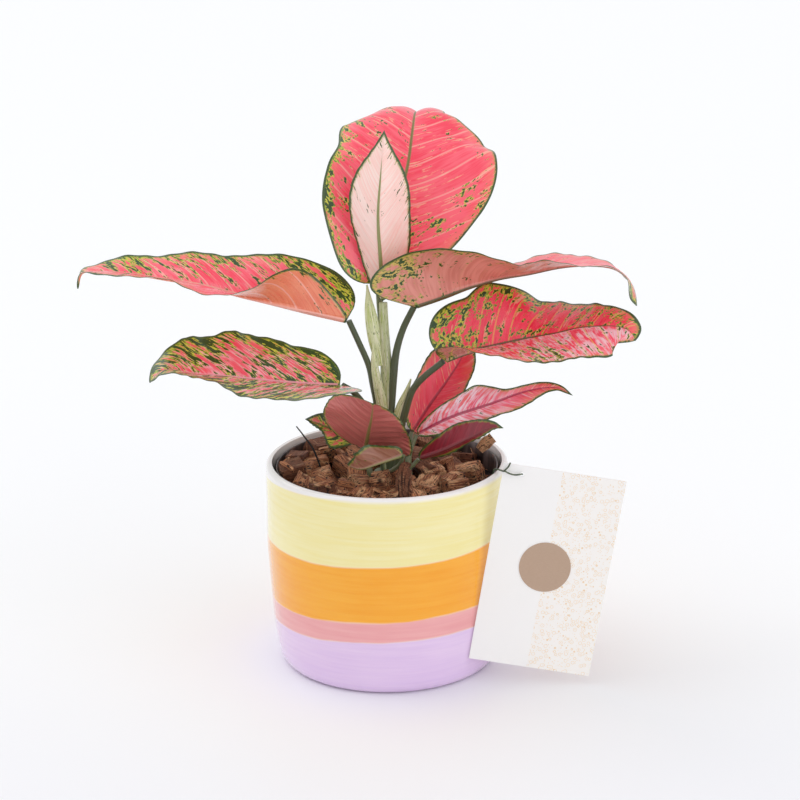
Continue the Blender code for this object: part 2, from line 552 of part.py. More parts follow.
def blade_solid(name, leaf, collection):
    """A thin closed leaf with its midrib standing out below; both faces are split into triangles alike."""
    columns = leaf["columns"]
    rows = leaf["rows"]
    grid, normals = blade_grid(leaf, rows, columns)
    wide = grid.shape[1]
    middle = wide // 2
    u = np.linspace(0, 1, rows + 1)
    ridge = np.zeros(grid.shape[:2])
    ridge[:, middle] = leaf["ridge"] * (1 - 0.85 * u)
    ridge[:, [middle - 1, middle + 1]] = 0.25 * ridge[:, [middle]]
    upper = grid + normals * BLADE_THICKNESS / 2
    lower = grid - normals * (BLADE_THICKNESS / 2 + ridge)[..., None]
    points = []
    index = []
    for sheet in (upper, lower):
        rows_of = np.zeros((rows + 1, wide), int)
        for row in range(rows + 1):
            if row in (0, rows):
                rows_of[row] = len(points)
                points.append(sheet[row, middle])
                continue
            for column in range(wide):
                rows_of[row, column] = len(points)
                points.append(sheet[row, column])
        index.append(rows_of)
    faces = []
    top, bottom = index
    for row in range(rows):
        for column in range(wide - 1):
            corners = ((row, column), (row + 1, column), (row + 1, column + 1), (row, column + 1))
            splits = ((0, 1, 2), (0, 2, 3)) if column < middle else ((0, 1, 3), (1, 2, 3))
            for split in splits:
                over = [top[corners[k]] for k in split]
                under = [bottom[corners[k]] for k in split]
                if len(set(over)) == 3:
                    faces.append(over[::-1])
                    faces.append(under)
    for column, turned in ((0, False), (wide - 1, True)):
        for row in range(rows):
            a, b = top[row, column], top[row + 1, column]
            c, d = bottom[row + 1, column], bottom[row, column]
            loops = ((a, b, c), (a, c, d))
            for loop in loops:
                faces.append(loop[::-1] if turned else loop)
    return mesh_object(name, np.array(points) * MM, faces, collection, LEAF_COLOURS.get(name, "leaf"))


# ---------------------------------------------------------------- pieces

def build_pot(collection):
    on_axis = ((0.0, POT_OUTER[-1][1]), (0.0, POT_FLOOR))
    section = POT_OUTER + on_axis + POT_INNER + POT_OUTER[:1]
    screw("pot", section, POT_SIDES, collection, "pot")


def liner_radius(height):
    """Outer radius of the nursery pot at a height."""
    part = (height - LINER_FOOT) / (LINER_TOP - LINER_FOOT)
    return LINER_FOOT_RADIUS + (LINER_TOP_RADIUS - LINER_FOOT_RADIUS) * part


def build_grow_pot(collection):
    floor = LINER_FOOT + LINER_WALL
    section = [(LINER_TOP_RADIUS, LINER_TOP), (LINER_FOOT_RADIUS, LINER_FOOT), (0.0, LINER_FOOT),
               (0.0, floor),
               (liner_radius(floor) - LINER_WALL, floor), (LINER_TOP_RADIUS - LINER_WALL, LINER_TOP),
               (LINER_TOP_RADIUS, LINER_TOP)]
    screw("grow_pot", section, LINER_SIDES, collection, "grow_pot")


def filling(name, foot, top, collection, look=None):
    """A solid that fills the nursery pot from one height to another, clear of its wall."""
    inset = LINER_WALL + 2 * GAP
    radii = liner_radius(foot) - inset, liner_radius(top) - inset
    return cone(name, *radii, foot, top, LINER_SIDES, collection, look=look)


def bore_stem_holes(body, extra):
    for x, y, radius in STEM_FEET:
        wide = radius + extra
        bore = cone("bore", wide, wide, STEM_FOOT_HEIGHT - GAP, LINER_TOP + STEM_FOOT_HEIGHT, STEM_SIDES,
                    bpy.context.scene.collection, at=(x, y))
        boolean(body, bore, "DIFFERENCE")


def build_soil(collection):
    soil = filling("soil", LINER_FOOT + LINER_WALL + GAP, SOIL_TOP, collection, "soil")
    bore_stem_holes(soil, GAP)


def mulch_height(x, y):
    """Height of the chips' centres, lower towards one side."""
    away = math.hypot(x - MULCH_LOW_SIDE[0], y - MULCH_LOW_SIDE[1])
    return CHIP_CENTRES - MULCH_LOW_DEPTH * math.exp(-(away / MULCH_LOW_REACH) ** 2)


def chip(number, at, turn, size, collection):
    """One husk chip: a box with its corners pushed about a little."""
    place = Matrix.Translation(at) @ turn.to_matrix().to_4x4()
    points = []
    for z in (-0.5, 0.5):
        for x, y in ((-0.5, -0.5), (0.5, -0.5), (0.5, 0.5), (-0.5, 0.5)):
            uneven = [random.uniform(*CHIP_UNEVEN) for _ in range(3)]
            corner = [way * side * factor for way, side, factor in zip((x, y, z), size, uneven)]
            points.append(place @ Vector(corner))
    quads = ((3, 2, 1, 0), (4, 5, 6, 7), (0, 1, 5, 4), (1, 2, 6, 5), (2, 3, 7, 6), (3, 0, 4, 7))
    triangles = [(a, b, c) for a, b, c, d in quads] + [(a, c, d) for a, b, c, d in quads]
    return mesh_object(f"chip_{number:03d}", points, triangles, collection)


def build_mulch(collection):
    random.seed(MULCH_SEED)
    bed = filling("husk_mulch", SOIL_TOP + GAP, MULCH_BED_TOP, collection, "husk_mulch")
    chips = []
    golden = math.pi * (3 - math.sqrt(5))
    for i in range(CHIP_COUNT):
        radius = CHIP_SPREAD * math.sqrt((i + 0.6) / CHIP_COUNT)
        x = radius * math.cos(i * golden) + random.uniform(-CHIP_JITTER, CHIP_JITTER)
        y = radius * math.sin(i * golden) + random.uniform(-CHIP_JITTER, CHIP_JITTER)
        size = [random.uniform(*span) for span in (CHIP_LENGTH, CHIP_WIDTH, CHIP_HEIGHT)]
        turn = Euler((random.uniform(-CHIP_TILT, CHIP_TILT), random.uniform(-CHIP_TILT, CHIP_TILT),
                      random.uniform(0, math.tau)))
        if any(math.hypot(x - foot[0], y - foot[1]) < foot[2] + CHIP_CLEARANCE for foot in STEM_FEET):
            continue
        chips.append(chip(i, (x, y, mulch_height(x, y)), turn, size, collection))
    mulch = fuse(bed, chips)
    liner_bore = filling("liner_bore", SOIL_TOP + GAP, LINER_TOP + STEM_FOOT_HEIGHT, collection)
    boolean(mulch, liner_bore, "INTERSECT")
    bore_stem_holes(mulch, GAP)
    keep_largest_shell(mulch)
    mulch.data.materials.clear()
    mulch.data.materials.append(material("husk_mulch"))


def build_shoot(name, foot, stalks, collection):
    """One shoot: a round foot that stands in the soil, fused with its stalks and sheaths."""
    x, y, radius = foot
    shoot = cone(name, radius, radius * STEM_TAPER, STEM_FOOT_HEIGHT, STEM_TOP_HEIGHT, STEM_SIDES, collection,
                 at=(x, y))
    parts = [tube(f"{name}_{i}", stalk["points"], stalk["across"], stalk["deep"], stalk["sides"],
                  stalk["steps"], collection) for i, stalk in enumerate(stalks)]
    fuse(shoot, parts)
    shoot.data.materials.clear()
    shoot.data.materials.append(material("stalk"))


def card_frame():
    """Origin and unit axes of the card: across, down and out of its front."""
    across = Vector(CARD_ACROSS).normalized()
    down = Vector(CARD_DOWN)
    down = (down - across * down.dot(across)).normalized()
    return Vector(CARD_CORNER), across, down, across.cross(-down)


def card_plate(name, outline, back, front, collection, look=None):
    """A flat plate on the card's frame: its outline across and down, between two depths out of the front."""
    corner, across, down, out = card_frame()
    count = len(outline)
    points = [corner + across * a + down * d + out * depth for depth in (back, front) for a, d in outline]
    faces = [(i, (i + 1) % count, count + (i + 1) % count, count + i) for i in range(count)]
    faces.append(tuple(reversed(range(count))))
    faces.append(tuple(range(count, 2 * count)))
    return mesh_object(name, points, [face[::-1] for face in faces], collection, look)


def disc(centre, radius, sides):
    turns = [math.tau * i / sides for i in range(sides)]
    return [(centre[0] + radius * math.cos(turn), centre[1] + radius * math.sin(turn)) for turn in turns]


def build_tag(collection):
    edge = ((0.0, 0.0), (CARD_WIDTH, 0.0), (CARD_WIDTH, CARD_HEIGHT), (0.0, CARD_HEIGHT))
    card = card_plate("tag_card", edge, 0.0, CARD_THICKNESS, collection, "card")
    hole = card_plate("hole", disc(CARD_HOLE_AT, CARD_HOLE_RADIUS, TIE_SIDES * 2), -CARD_THICKNESS,
                      2 * CARD_THICKNESS, collection)
    boolean(card, hole, "DIFFERENCE")
    front = CARD_THICKNESS + GAP
    sticker = disc(STICKER_AT, STICKER_RADIUS, STICKER_SIDES)
    card_plate("tag_sticker", sticker, front, front + STICKER_THICKNESS, collection, "sticker")
    radius = TIE_RADIUS / MM
    main = tube("tag_tie", TIE_MAIN, (radius,), (radius,), TIE_SIDES, 12, collection, facing=(0, 0, 1))
    fork = tube("tag_tie_fork", TIE_FORK, (radius,), (radius,), TIE_SIDES, 4, collection, facing=(0, 0, 1))
    fuse(main, [fork])
    main.data.materials.clear()
    main.data.materials.append(material("tie"))


def main():
    clear_scene()
    collection = new_collection(COLLECTION)
    build_pot(collection)
    build_grow_pot(collection)
    build_soil(collection)
    build_mulch(collection)
    for name, leaf in LEAVES.items():
        blade_solid(name, leaf, collection)
    build_shoot("shoot_main", MAIN_FOOT, MAIN_STALKS, collection)
    build_shoot("shoot_right", RIGHT_FOOT, RIGHT_STALKS, collection)
    build_shoot("shoot_front", FRONT_FOOT, FRONT_STALKS, collection)
    build_tag(collection)


main()
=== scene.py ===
"""Looks of the potted Chinese evergreen: fine leaves, stalks, husk chips, glaze, card, floor and light.

Metres, +Z up, the front towards -Y. Leaf, stalk and tie tables are in millimetres and repeat the forms of
the CAD source. Colours are 8-bit screen values, which srgb() makes linear.
"""

import math
import random

import bmesh
import bpy
import numpy as np
from mathutils import Euler, Matrix, Vector, noise
from mathutils.bvhtree import BVHTree

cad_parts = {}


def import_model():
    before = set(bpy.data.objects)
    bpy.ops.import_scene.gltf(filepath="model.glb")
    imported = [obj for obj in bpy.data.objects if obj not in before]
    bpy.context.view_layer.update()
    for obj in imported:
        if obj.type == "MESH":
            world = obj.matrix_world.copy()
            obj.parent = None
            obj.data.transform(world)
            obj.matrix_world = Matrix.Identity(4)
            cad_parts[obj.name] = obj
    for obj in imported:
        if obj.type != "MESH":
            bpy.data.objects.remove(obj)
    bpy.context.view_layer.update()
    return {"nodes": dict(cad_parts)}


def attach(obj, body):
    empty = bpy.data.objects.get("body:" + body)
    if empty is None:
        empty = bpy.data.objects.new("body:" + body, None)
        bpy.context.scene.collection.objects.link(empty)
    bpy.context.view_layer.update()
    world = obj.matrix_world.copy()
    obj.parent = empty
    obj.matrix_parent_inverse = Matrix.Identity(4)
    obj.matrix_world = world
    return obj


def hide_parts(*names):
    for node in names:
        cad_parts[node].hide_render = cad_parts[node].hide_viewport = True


MM = 0.001
BODY = "root"
COLLECTION = "looks"
WELD = 0.00001  # points closer than this become one
LEAF_WELD = 0.00002
FINE_WELD = 0.000001
SHARP = math.radians(60)
CURVE_STEPS = 40  # dense points between two of a curve's
NO_LENGTH = 1e-9

# Camera, floor and light
CAMERA_AT = (0.008, -1.300, 0.566)
CAMERA_AIM = (0.008, 0.0, 0.1564)
CAMERA_ROLL = math.radians(-0.66)
CAMERA_LENS = 106.5
CAMERA_SENSOR = 36.0
FLOOR_SIZE = 14.0
FLOOR_COLOUR = (249, 250, 251)
FLOOR_SHADE_COLOUR = (238, 238, 243)  # painted shade: the floor is darker in front of the pot
FLOOR_NEAR = -0.40
FLOOR_FAR = 0.20
WORLD_COLOUR = (252, 252, 254)
WORLD_STRENGTH = 0.845
SUNS = {  # way the light travels, strength, width of the sun, colour
    "back_left": ((0.7, -0.30, -0.9), 0.75, math.radians(55), (252, 254, 255)),
    "front_right": ((-0.9, 0.8, -0.35), 0.55, math.radians(60), (255, 255, 255)),
}

# Pot, as in the CAD: (radius, height) of the outer profile from the rim down, and of the inner one upwards
POT_SIDES = 192
POT_OUTER = ((0.0680, 0.1210), (0.0693, 0.1204), (0.0700, 0.1190), (0.0704, 0.0960), (0.0706, 0.0730),
             (0.0697, 0.0550), (0.0688, 0.0400), (0.0678, 0.0260), (0.0658, 0.0110), (0.0643, 0.0045),
             (0.0620, 0.0011), (0.0590, 0.0000))
POT_INNER = ((0.0560, 0.0060), (0.0610, 0.0100), (0.0640, 0.0300), (0.0662, 0.0700),
             (0.0662, 0.1185), (0.0667, 0.1205))
POT_FLOOR = 0.0060
POT_REFINE = 5  # fine points for each step of the profile
UNPAINTED_FROM = 0.1188  # the rim stays white above this height
UNPAINTED_DEPTH = 0.0025  # a point this far behind the outer profile is inside the pot
UNPAINTED_FLOOR = 0.0059
BANDS = (  # top at the pot's axis, its rise per metre of X and fall per metre of Y, colour, stroke colour
    (0.1162, 0.022, 0.055, (247, 238, 182), (243, 230, 156)),
    (0.0822, 0.040, -0.026, (252, 178, 46), (247, 161, 14)),
    (0.0436, 0.040, 0.045, (242, 177, 177), (234, 158, 160)),
    (0.0307, 0.040, 0.055, (232, 207, 238), (223, 195, 234)),
)
BAND_WOBBLE = 0.0011
BAND_EDGE = 0.00035
BAND_LINE = 0.0009
BAND_LINE_COLOUR = (250, 226, 196)
GLAZE_WHITE = (243, 240, 238)

# Nursery pot, as in the CAD
LINER_SIDES = 144
LINER_ROWS = 24
LINER_TOP_RADIUS = 0.0645
LINER_FOOT_RADIUS = 0.0560
LINER_FOOT = 0.0063
LINER_TOP = 0.1180
LINER_WALL = 0.0009
LINER_CLEARANCE = 1.6 * LINER_WALL  # from the outer wall to the mulch

# Husk mulch, as in the CAD, with finer chips and what lies on them
BED_TOP = 0.1070
BED_RINGS = 24
BED_SIDES = 96
BED_CENTRE = 0.0004  # radius of the innermost ring
BED_BUMP = 2.6  # millimetres
BED_BUMPS_PER_METRE = 260
BED_SHADE_DEPTH = -0.45  # how deep the bed counts as lying, which darkens it as painted shade between the chips
BED_TINT = 0.7
MULCH_SEED = 11
MULCH_SHARP = math.radians(50)
CHIP_CENTRES = 0.1120
CHIP_COUNT = 54
CHIP_SPREAD = 0.0575
CHIP_JITTER = 0.0015
CHIP_LENGTH = (0.013, 0.019)
CHIP_WIDTH = (0.009, 0.014)
CHIP_HEIGHT = (0.009, 0.013)
CHIP_UNEVEN = (0.82, 1.12)
CHIP_SHRINK = 0.97
CHIP_SKIP = 5  # one chip in this many is left out, for deeper gaps
CHIP_SKIPPED = 2  # and it is this one
CHIP_TILTS = (-math.radians(28), math.radians(28))
CHIP_CLEARANCE = 0.0050  # from a chip's centre to a stem
CHIP_CUTS = 12
SQUARE = ((-0.5, -0.5), (0.5, -0.5), (0.5, 0.5), (-0.5, 0.5))
BOX_CORNERS = [(x, y, z) for z in (-0.5, 0.5) for x, y in SQUARE]
CHIP_ROUNDING = 30.0  # higher keeps a chip's edges sharper
CHIP_FIBRES = (0.16, 1.1, 0.35)  # waves per millimetre along a chip and across it, and strength
CHIP_LUMPS = (0.25, 0.3, 0.5)
CHIP_FRAYING = (1.7, 1.1)  # waves per millimetre across the chip's ends, and strength
CHIP_RUGGEDNESS = 0.55 * MM
CHIP_TINT_STEP = 0.618  # from chip to chip, so that neighbours differ
CHIP_SEED_STEP = 3.7
EXTRA_TINT_STEP = 0.3
EXTRA_SEED = 7.1
EXTRA_SEED_STEP = 2.9
MULCH_LOW_SIDE = (0.046, 0.036)  # the mulch lies lower towards the back right
MULCH_LOW_DEPTH = 0.0035
MULCH_LOW_REACH = 0.0220
EXTRA_CHIPS = (  # chips against the front stems and the left wall: place, size in millimetres, turn
    ((-15.5, -29.5, 116.0), (12.0, 10.0, 9.0), (0.3, 0.2, 0.7)),
    ((-2.5, -32.5, 117.5), (11.0, 9.0, 11.0), (0.4, -0.3, -0.5)),
    ((3.5, -24.0, 118.5), (9.0, 8.0, 8.0), (-0.2, 0.3, 1.1)),
    ((-55.0, -9.0, 115.5), (15.0, 13.0, 12.0), (0.1, -0.2, 0.3)),
    ((-52.0, 14.0, 115.0), (13.0, 12.0, 11.0), (-0.2, 0.1, 1.2)),
    ((-41.0, 37.0, 114.5), (15.0, 12.0, 11.0), (0.2, 0.1, 0.8)),
    ((-36.0, -42.0, 114.5), (14.0, 11.0, 11.0), (0.1, 0.2, 2.2)),
)
SHARD_SEED = 5
SHARD_COUNT = 34
SHARD_GRAIN_SEED = 50
SHARD_SEED_STEP = 2.3
SHARD_CUTS = 5
SHARD_LENGTH = (0.005, 0.015)
SHARD_WIDTH = (0.0020, 0.0060)
SHARD_DEPTH = (0.0010, 0.0030)
SHARD_UNEVEN = (0.6, 1.2)
SHARD_TILTS = ((-0.5, 0.5), (-0.35, 0.35))
SHARD_RAISED = 0.4  # how far its centre lies above the chips, as a share of its depth
SHARD_RUGGEDNESS = 0.35 * MM
FIBRE_COUNT = 46
FIBRE_LENGTH = (6.0, 20.0)
FIBRE_RADIUS = (0.10, 0.24)
FIBRE_BEND = 0.35
FIBRE_PARTS = (-0.5, -0.2, 0.1, 0.4)  # where its points lie, as shares of its length
FIBRE_LIFT = 0.15  # millimetres off the chips, and how much more it may be
FIBRE_LOOSE = 0.9
FIBRE_DROP = 0.003  # metres that it may hang down into a gap
FIBRE_SIDES = 5
FIBRE_STEPS = 9
FIBRE_DEPTH = 0.2
FIBRE_TINT = 0.6
DROP_FROM = 0.138  # height from which the top of the mulch is looked for
LITTER_SPREAD = 0.0605
LITTER_CLEARANCE = 0.002
BARK_STRIPS = (  # spine in millimetres, width, thickness, darkness
    (((11.5, -33, 127), (10.5, -37, 128), (9.5, -43, 122), (8.8, -49, 114)), 8.5, 2.4, 0.85),
    (((54, 10, 122), (58, 11, 126), (62, 12, 129)), 7.0, 2.4, -1.2),
)
BARK_WIDTHS = (0.35, 0.5, 0.42)  # half widths at even steps, as shares of the width
BARK_SIDES = 40
BARK_STEPS = 48
BARK_RUGGEDNESS = 1.1
ROOTS = (  # points in millimetres, radius
    (((-53, 20, 134.6), (-50.5, 18, 132), (-47.8, 14, 129.6), (-43, 6, 125.5), (-38, -4, 116)), 0.6),
    (((18, -26, 121), (15, -32, 126), (13, -38, 121.5)), 0.35),
)
ROOT_RADII = (0.6, 1.0, 0.8)
ROOT_SIDES = 8
ROOT_STEPS = 24
ROOT_DEPTH = -0.6

# Card, sticker and tie, as in the CAD
CARD_CORNER = (0.0660, -0.0460, 0.1335)
CARD_ACROSS = (0.9853, -0.0072, -0.1705)
CARD_DOWN = (-0.1707, -0.0338, -0.9847)
CARD_SIZE = (0.0698, 0.1186)
CARD_THICKNESS = 0.0006
CARD_HOLE_AT = (0.0110, 0.0052)
CARD_HOLE_RADIUS = 0.0013
CARD_SIDES = 96
CARD_RINGS = 24
PATTERN_FROM = 33.5  # millimetres across the card
PATTERN_EDGE = 0.1
STICKER_AT = (0.0333, 0.0573)
STICKER_RADIUS = 0.0147
STICKER_RINGS = (0.02, 0.5, 0.97, 1.0)
STICKER_THICKNESS = 0.0003
STICKER_LIFT = 0.00005
STICKER_SIDES = 96
TIE_RADIUS = 0.45  # millimetres
TIE_SIDES = 12
TIE_STEPS = 60
TIE_MAIN = ((60.5, -24.5, 112.5), (60.6, -24.6, 118.5), (61.2, -24.9, 122), (62.8, -25.6, 122.3),
            (64.8, -26.8, 122.4), (64.2, -36, 125.4), (63.9, -45, 128.5), (64.9, -48.6, 129.4),
            (66.4, -48.9, 129.2), (68.6, -48.6, 127.9), (71.4, -48.6, 127), (74.2, -48.4, 127),
            (75.7, -47.2, 126.9), (76.3, -45, 126))
TIE_FORK = ((65.9, -47.6, 129.1), (68, -48.7, 131.6), (69.4, -48.2, 134.1))

# Stems: x, y and radius of each foot in the soil
MAIN_FOOT = (-0.0005, 0.0000, 0.0080)
RIGHT_FOOT = (0.0130, -0.0135, 0.0042)
FRONT_FOOT = (-0.0060, -0.0225, 0.0045)
STEM_FEET = (MAIN_FOOT, RIGHT_FOOT, FRONT_FOOT)
STEM_FOOT_HEIGHT = 0.0500
STEM_TOP_HEIGHT = 0.1135
STEM_TAPER = 0.86
STEM_TONE = 0.15
STEM_STEPS = 15
STALK_SIDES = 24
STALK_STEPS = 60

# Green stalks and sheaths, in millimetres: points from top to bottom, then the radii across and, where they
# differ, front to back, at even steps. The tone at the top and at the bottom is 0 for a dark petiole and 1
# for a pale sheath.
MAIN_STALKS = (
    dict(points=((-20.6, -1.8, 204.6), (-15, -1, 191.1), (-9.6, 0, 177.1), (-7.4, 0, 165.6), (-5.3, 1, 153.8),
         (-2.7, 2, 131.6), (-0.7, 2, 109.4), (-0.2, 2, 97)), across=(1.7, 1.9, 2.4, 3.2),
         deep=(1.7, 1.9, 2.3, 3), tone=(0.05, 0.15)),
    dict(points=((16.6, -8.8, 214.5), (10.2, -4, 200), (6.3, -2, 186.4), (4.5, -1, 171.8), (2.8, 0, 154),
         (0.8, 0, 132.2), (2.8, 0, 110.1), (2.1, 0, 97.7)), across=(1.8, 2.2, 2.8, 3.6),
         deep=(1.8, 2.1, 2.6, 3.2), tone=(0.05, 0.1)),
    dict(points=((-0.9, 0.3, 214.5), (-0.4, 0, 194.2), (0.4, 1, 174.2), (-0.1, 1, 153.8), (-0.4, 2, 131.5),
         (1.1, 2, 109.4), (0.3, 1, 97.4)), across=(2.4, 3.4, 4.2, 5), deep=(2, 3, 3.6, 4.4),
         tone=(0.75, 0.5)),
    dict(points=((-3.3, 5.6, 222.6), (-2.8, 7, 211.3), (-1.8, 6, 199.7), (-0.9, 4, 185.3), (0.1, 2, 167.9)),
         across=(1.9, 2.2, 2.6), tone=(0.2, 0.3)),
    dict(points=((32.7, -13.7, 183.4), (30.9, -13, 181.6), (22.4, -10, 173.7), (15.5, -7, 164.8),
         (10.8, -4, 149.8), (6.6, -1, 132.5), (4.6, -1, 110.4), (2.7, -1, 98.1)), across=(1.8, 2, 2.4, 3),
         deep=(1.8, 2, 2.3, 2.8), tone=(0.05, 0.15)),
    dict(points=((-24.5, -13.7, 169.8), (-19.3, -11, 165.6), (-12.7, -5, 155.2), (-7.2, 0, 138.4),
         (-3.4, 1, 124.6), (-0.7, 1, 109.8), (-0.2, 1, 97.4)), across=(1.7, 2, 2.4), tone=(0.05, 0.15)),
    dict(points=((-10, 1, 224.8), (-8.5, 1, 210), (-5.9, 0, 194.3), (-2.7, 0, 177.6)),
         across=(0.5, 3.2, 4.2, 3), deep=(0.5, 1, 1.3, 1.6), tone=(1.0, 0.9)),
    dict(points=((-7, -2, 191.3), (-6.4, -2, 178.2), (-4.5, -2, 166.2), (-2.4, -1, 154.4), (-1.4, 0, 141.4)),
         across=(0.5, 2, 2.8, 3.4, 3.6), deep=(0.5, 1, 1.6, 2.2, 2.6), tone=(1.0, 0.9)),
    dict(points=((14.4, -4, 170.2), (11.8, -4, 162.4), (8.5, -3, 153.7), (5.5, -1, 141.6)),
         across=(0.5, 1.9, 2.8, 3.4), deep=(0.5, 1.1, 1.8, 2.4), tone=(1.0, 0.9)),
)
RIGHT_STALKS = (
    dict(points=((14.5, -2.4, 137.4), (13.5, -6, 134), (12.3, -10, 128.1), (12.1, -13, 118.2),
         (12.6, -13.5, 104.9)), across=(1.1, 1.6, 2.2), tone=(0.2, 0.3)),
    dict(points=((17.3, -9.7, 138.5), (15.2, -11, 133.9), (12.8, -13, 126.7), (12.7, -13.5, 117.1),
         (12.9, -13.5, 104.9)), across=(1.2, 1.7, 2.2), tone=(0.2, 0.3)),
    dict(points=((18.3, -15.6, 125.6), (16.2, -15, 123.1), (13.3, -14, 118.5), (12.7, -13.5, 112.3),
         (12.9, -13.5, 104.9)), across=(1.1, 1.5, 2), tone=(0.2, 0.3)),
)
FRONT_STALKS = (
    dict(points=((-12.1, -19.5, 133.3), (-11.2, -20, 128.2), (-10.2, -22, 122.8), (-8, -22.5, 114.5),
         (-7, -22.5, 104.1)), across=(1.3, 1.8, 2.4), deep=(1.2, 1.7, 2.3), tone=(0.2, 0.3)),
    dict(points=((9.8, -33.6, 134.1), (7.6, -30, 127.8), (1.8, -26, 121.6), (-5.1, -23, 114.6),
         (-6.4, -22.5, 104.1)), across=(1, 1.4, 2), tone=(0.2, 0.3)),
    dict(points=((-16.2, -13.8, 137.6), (-14.1, -15, 132.6), (-10.7, -19, 126.6), (-8.6, -22, 115.5),
         (-7, -22.5, 104.1)), across=(0.9, 1.3, 2), tone=(0.2, 0.3)),
)

# Leaf blades, in millimetres
BLADE_THICKNESS = (0.60, 0.26)  # at the rib and at the margin
LARGE_GRID = (150, 42)  # rows, and columns of each half
SMALL_GRID = (84, 26)
LARGE_FROM = 25.0  # half width
COLUMN_POWER = 1.25  # packs the columns towards the rib
CURL_STEPS = 8
LOBE_LENGTH = 0.12
TIP_POWER = 1.15
SWEEP_POWER = 1.4
VEIN_BEND = 1.2  # above 1, the side veins curve towards the tip
VEIN_SPACING = 8.5  # between side veins, for the width of their lines
QUILT_ROUNDING = 0.7  # below 1, the blade is flatter between its veins
QUILT_REACH = 1.15  # above 1, the blade is flat before its edge
RIB_WIDTH = 1.7
RIB_NARROWING = 0.75  # share of the midrib's width that is lost up to the tip, and of its depth
RIB_THINNING = 0.85
RIB_FADE = 1.05  # how much narrower the rib's colour gets
RIB_GROOVE = 0.35
RIB_GROOVE_WIDTH = 0.8
EDGE_RIPPLE = 0.35
EDGE_RIPPLE_COUNT = 13
BASE_REACH = 0.22  # share of the length over which the marks near the stalk fade
SHEEN_FADE = 0.35  # share of the length over which a painted sheen that ends fades out
FLAT_SHIFT = 37.0  # keeps each leaf's texture apart from the others'
GRAIN_SHIFT = 31.0
HALF_SHIFT = 9.0  # and the two halves of a leaf apart

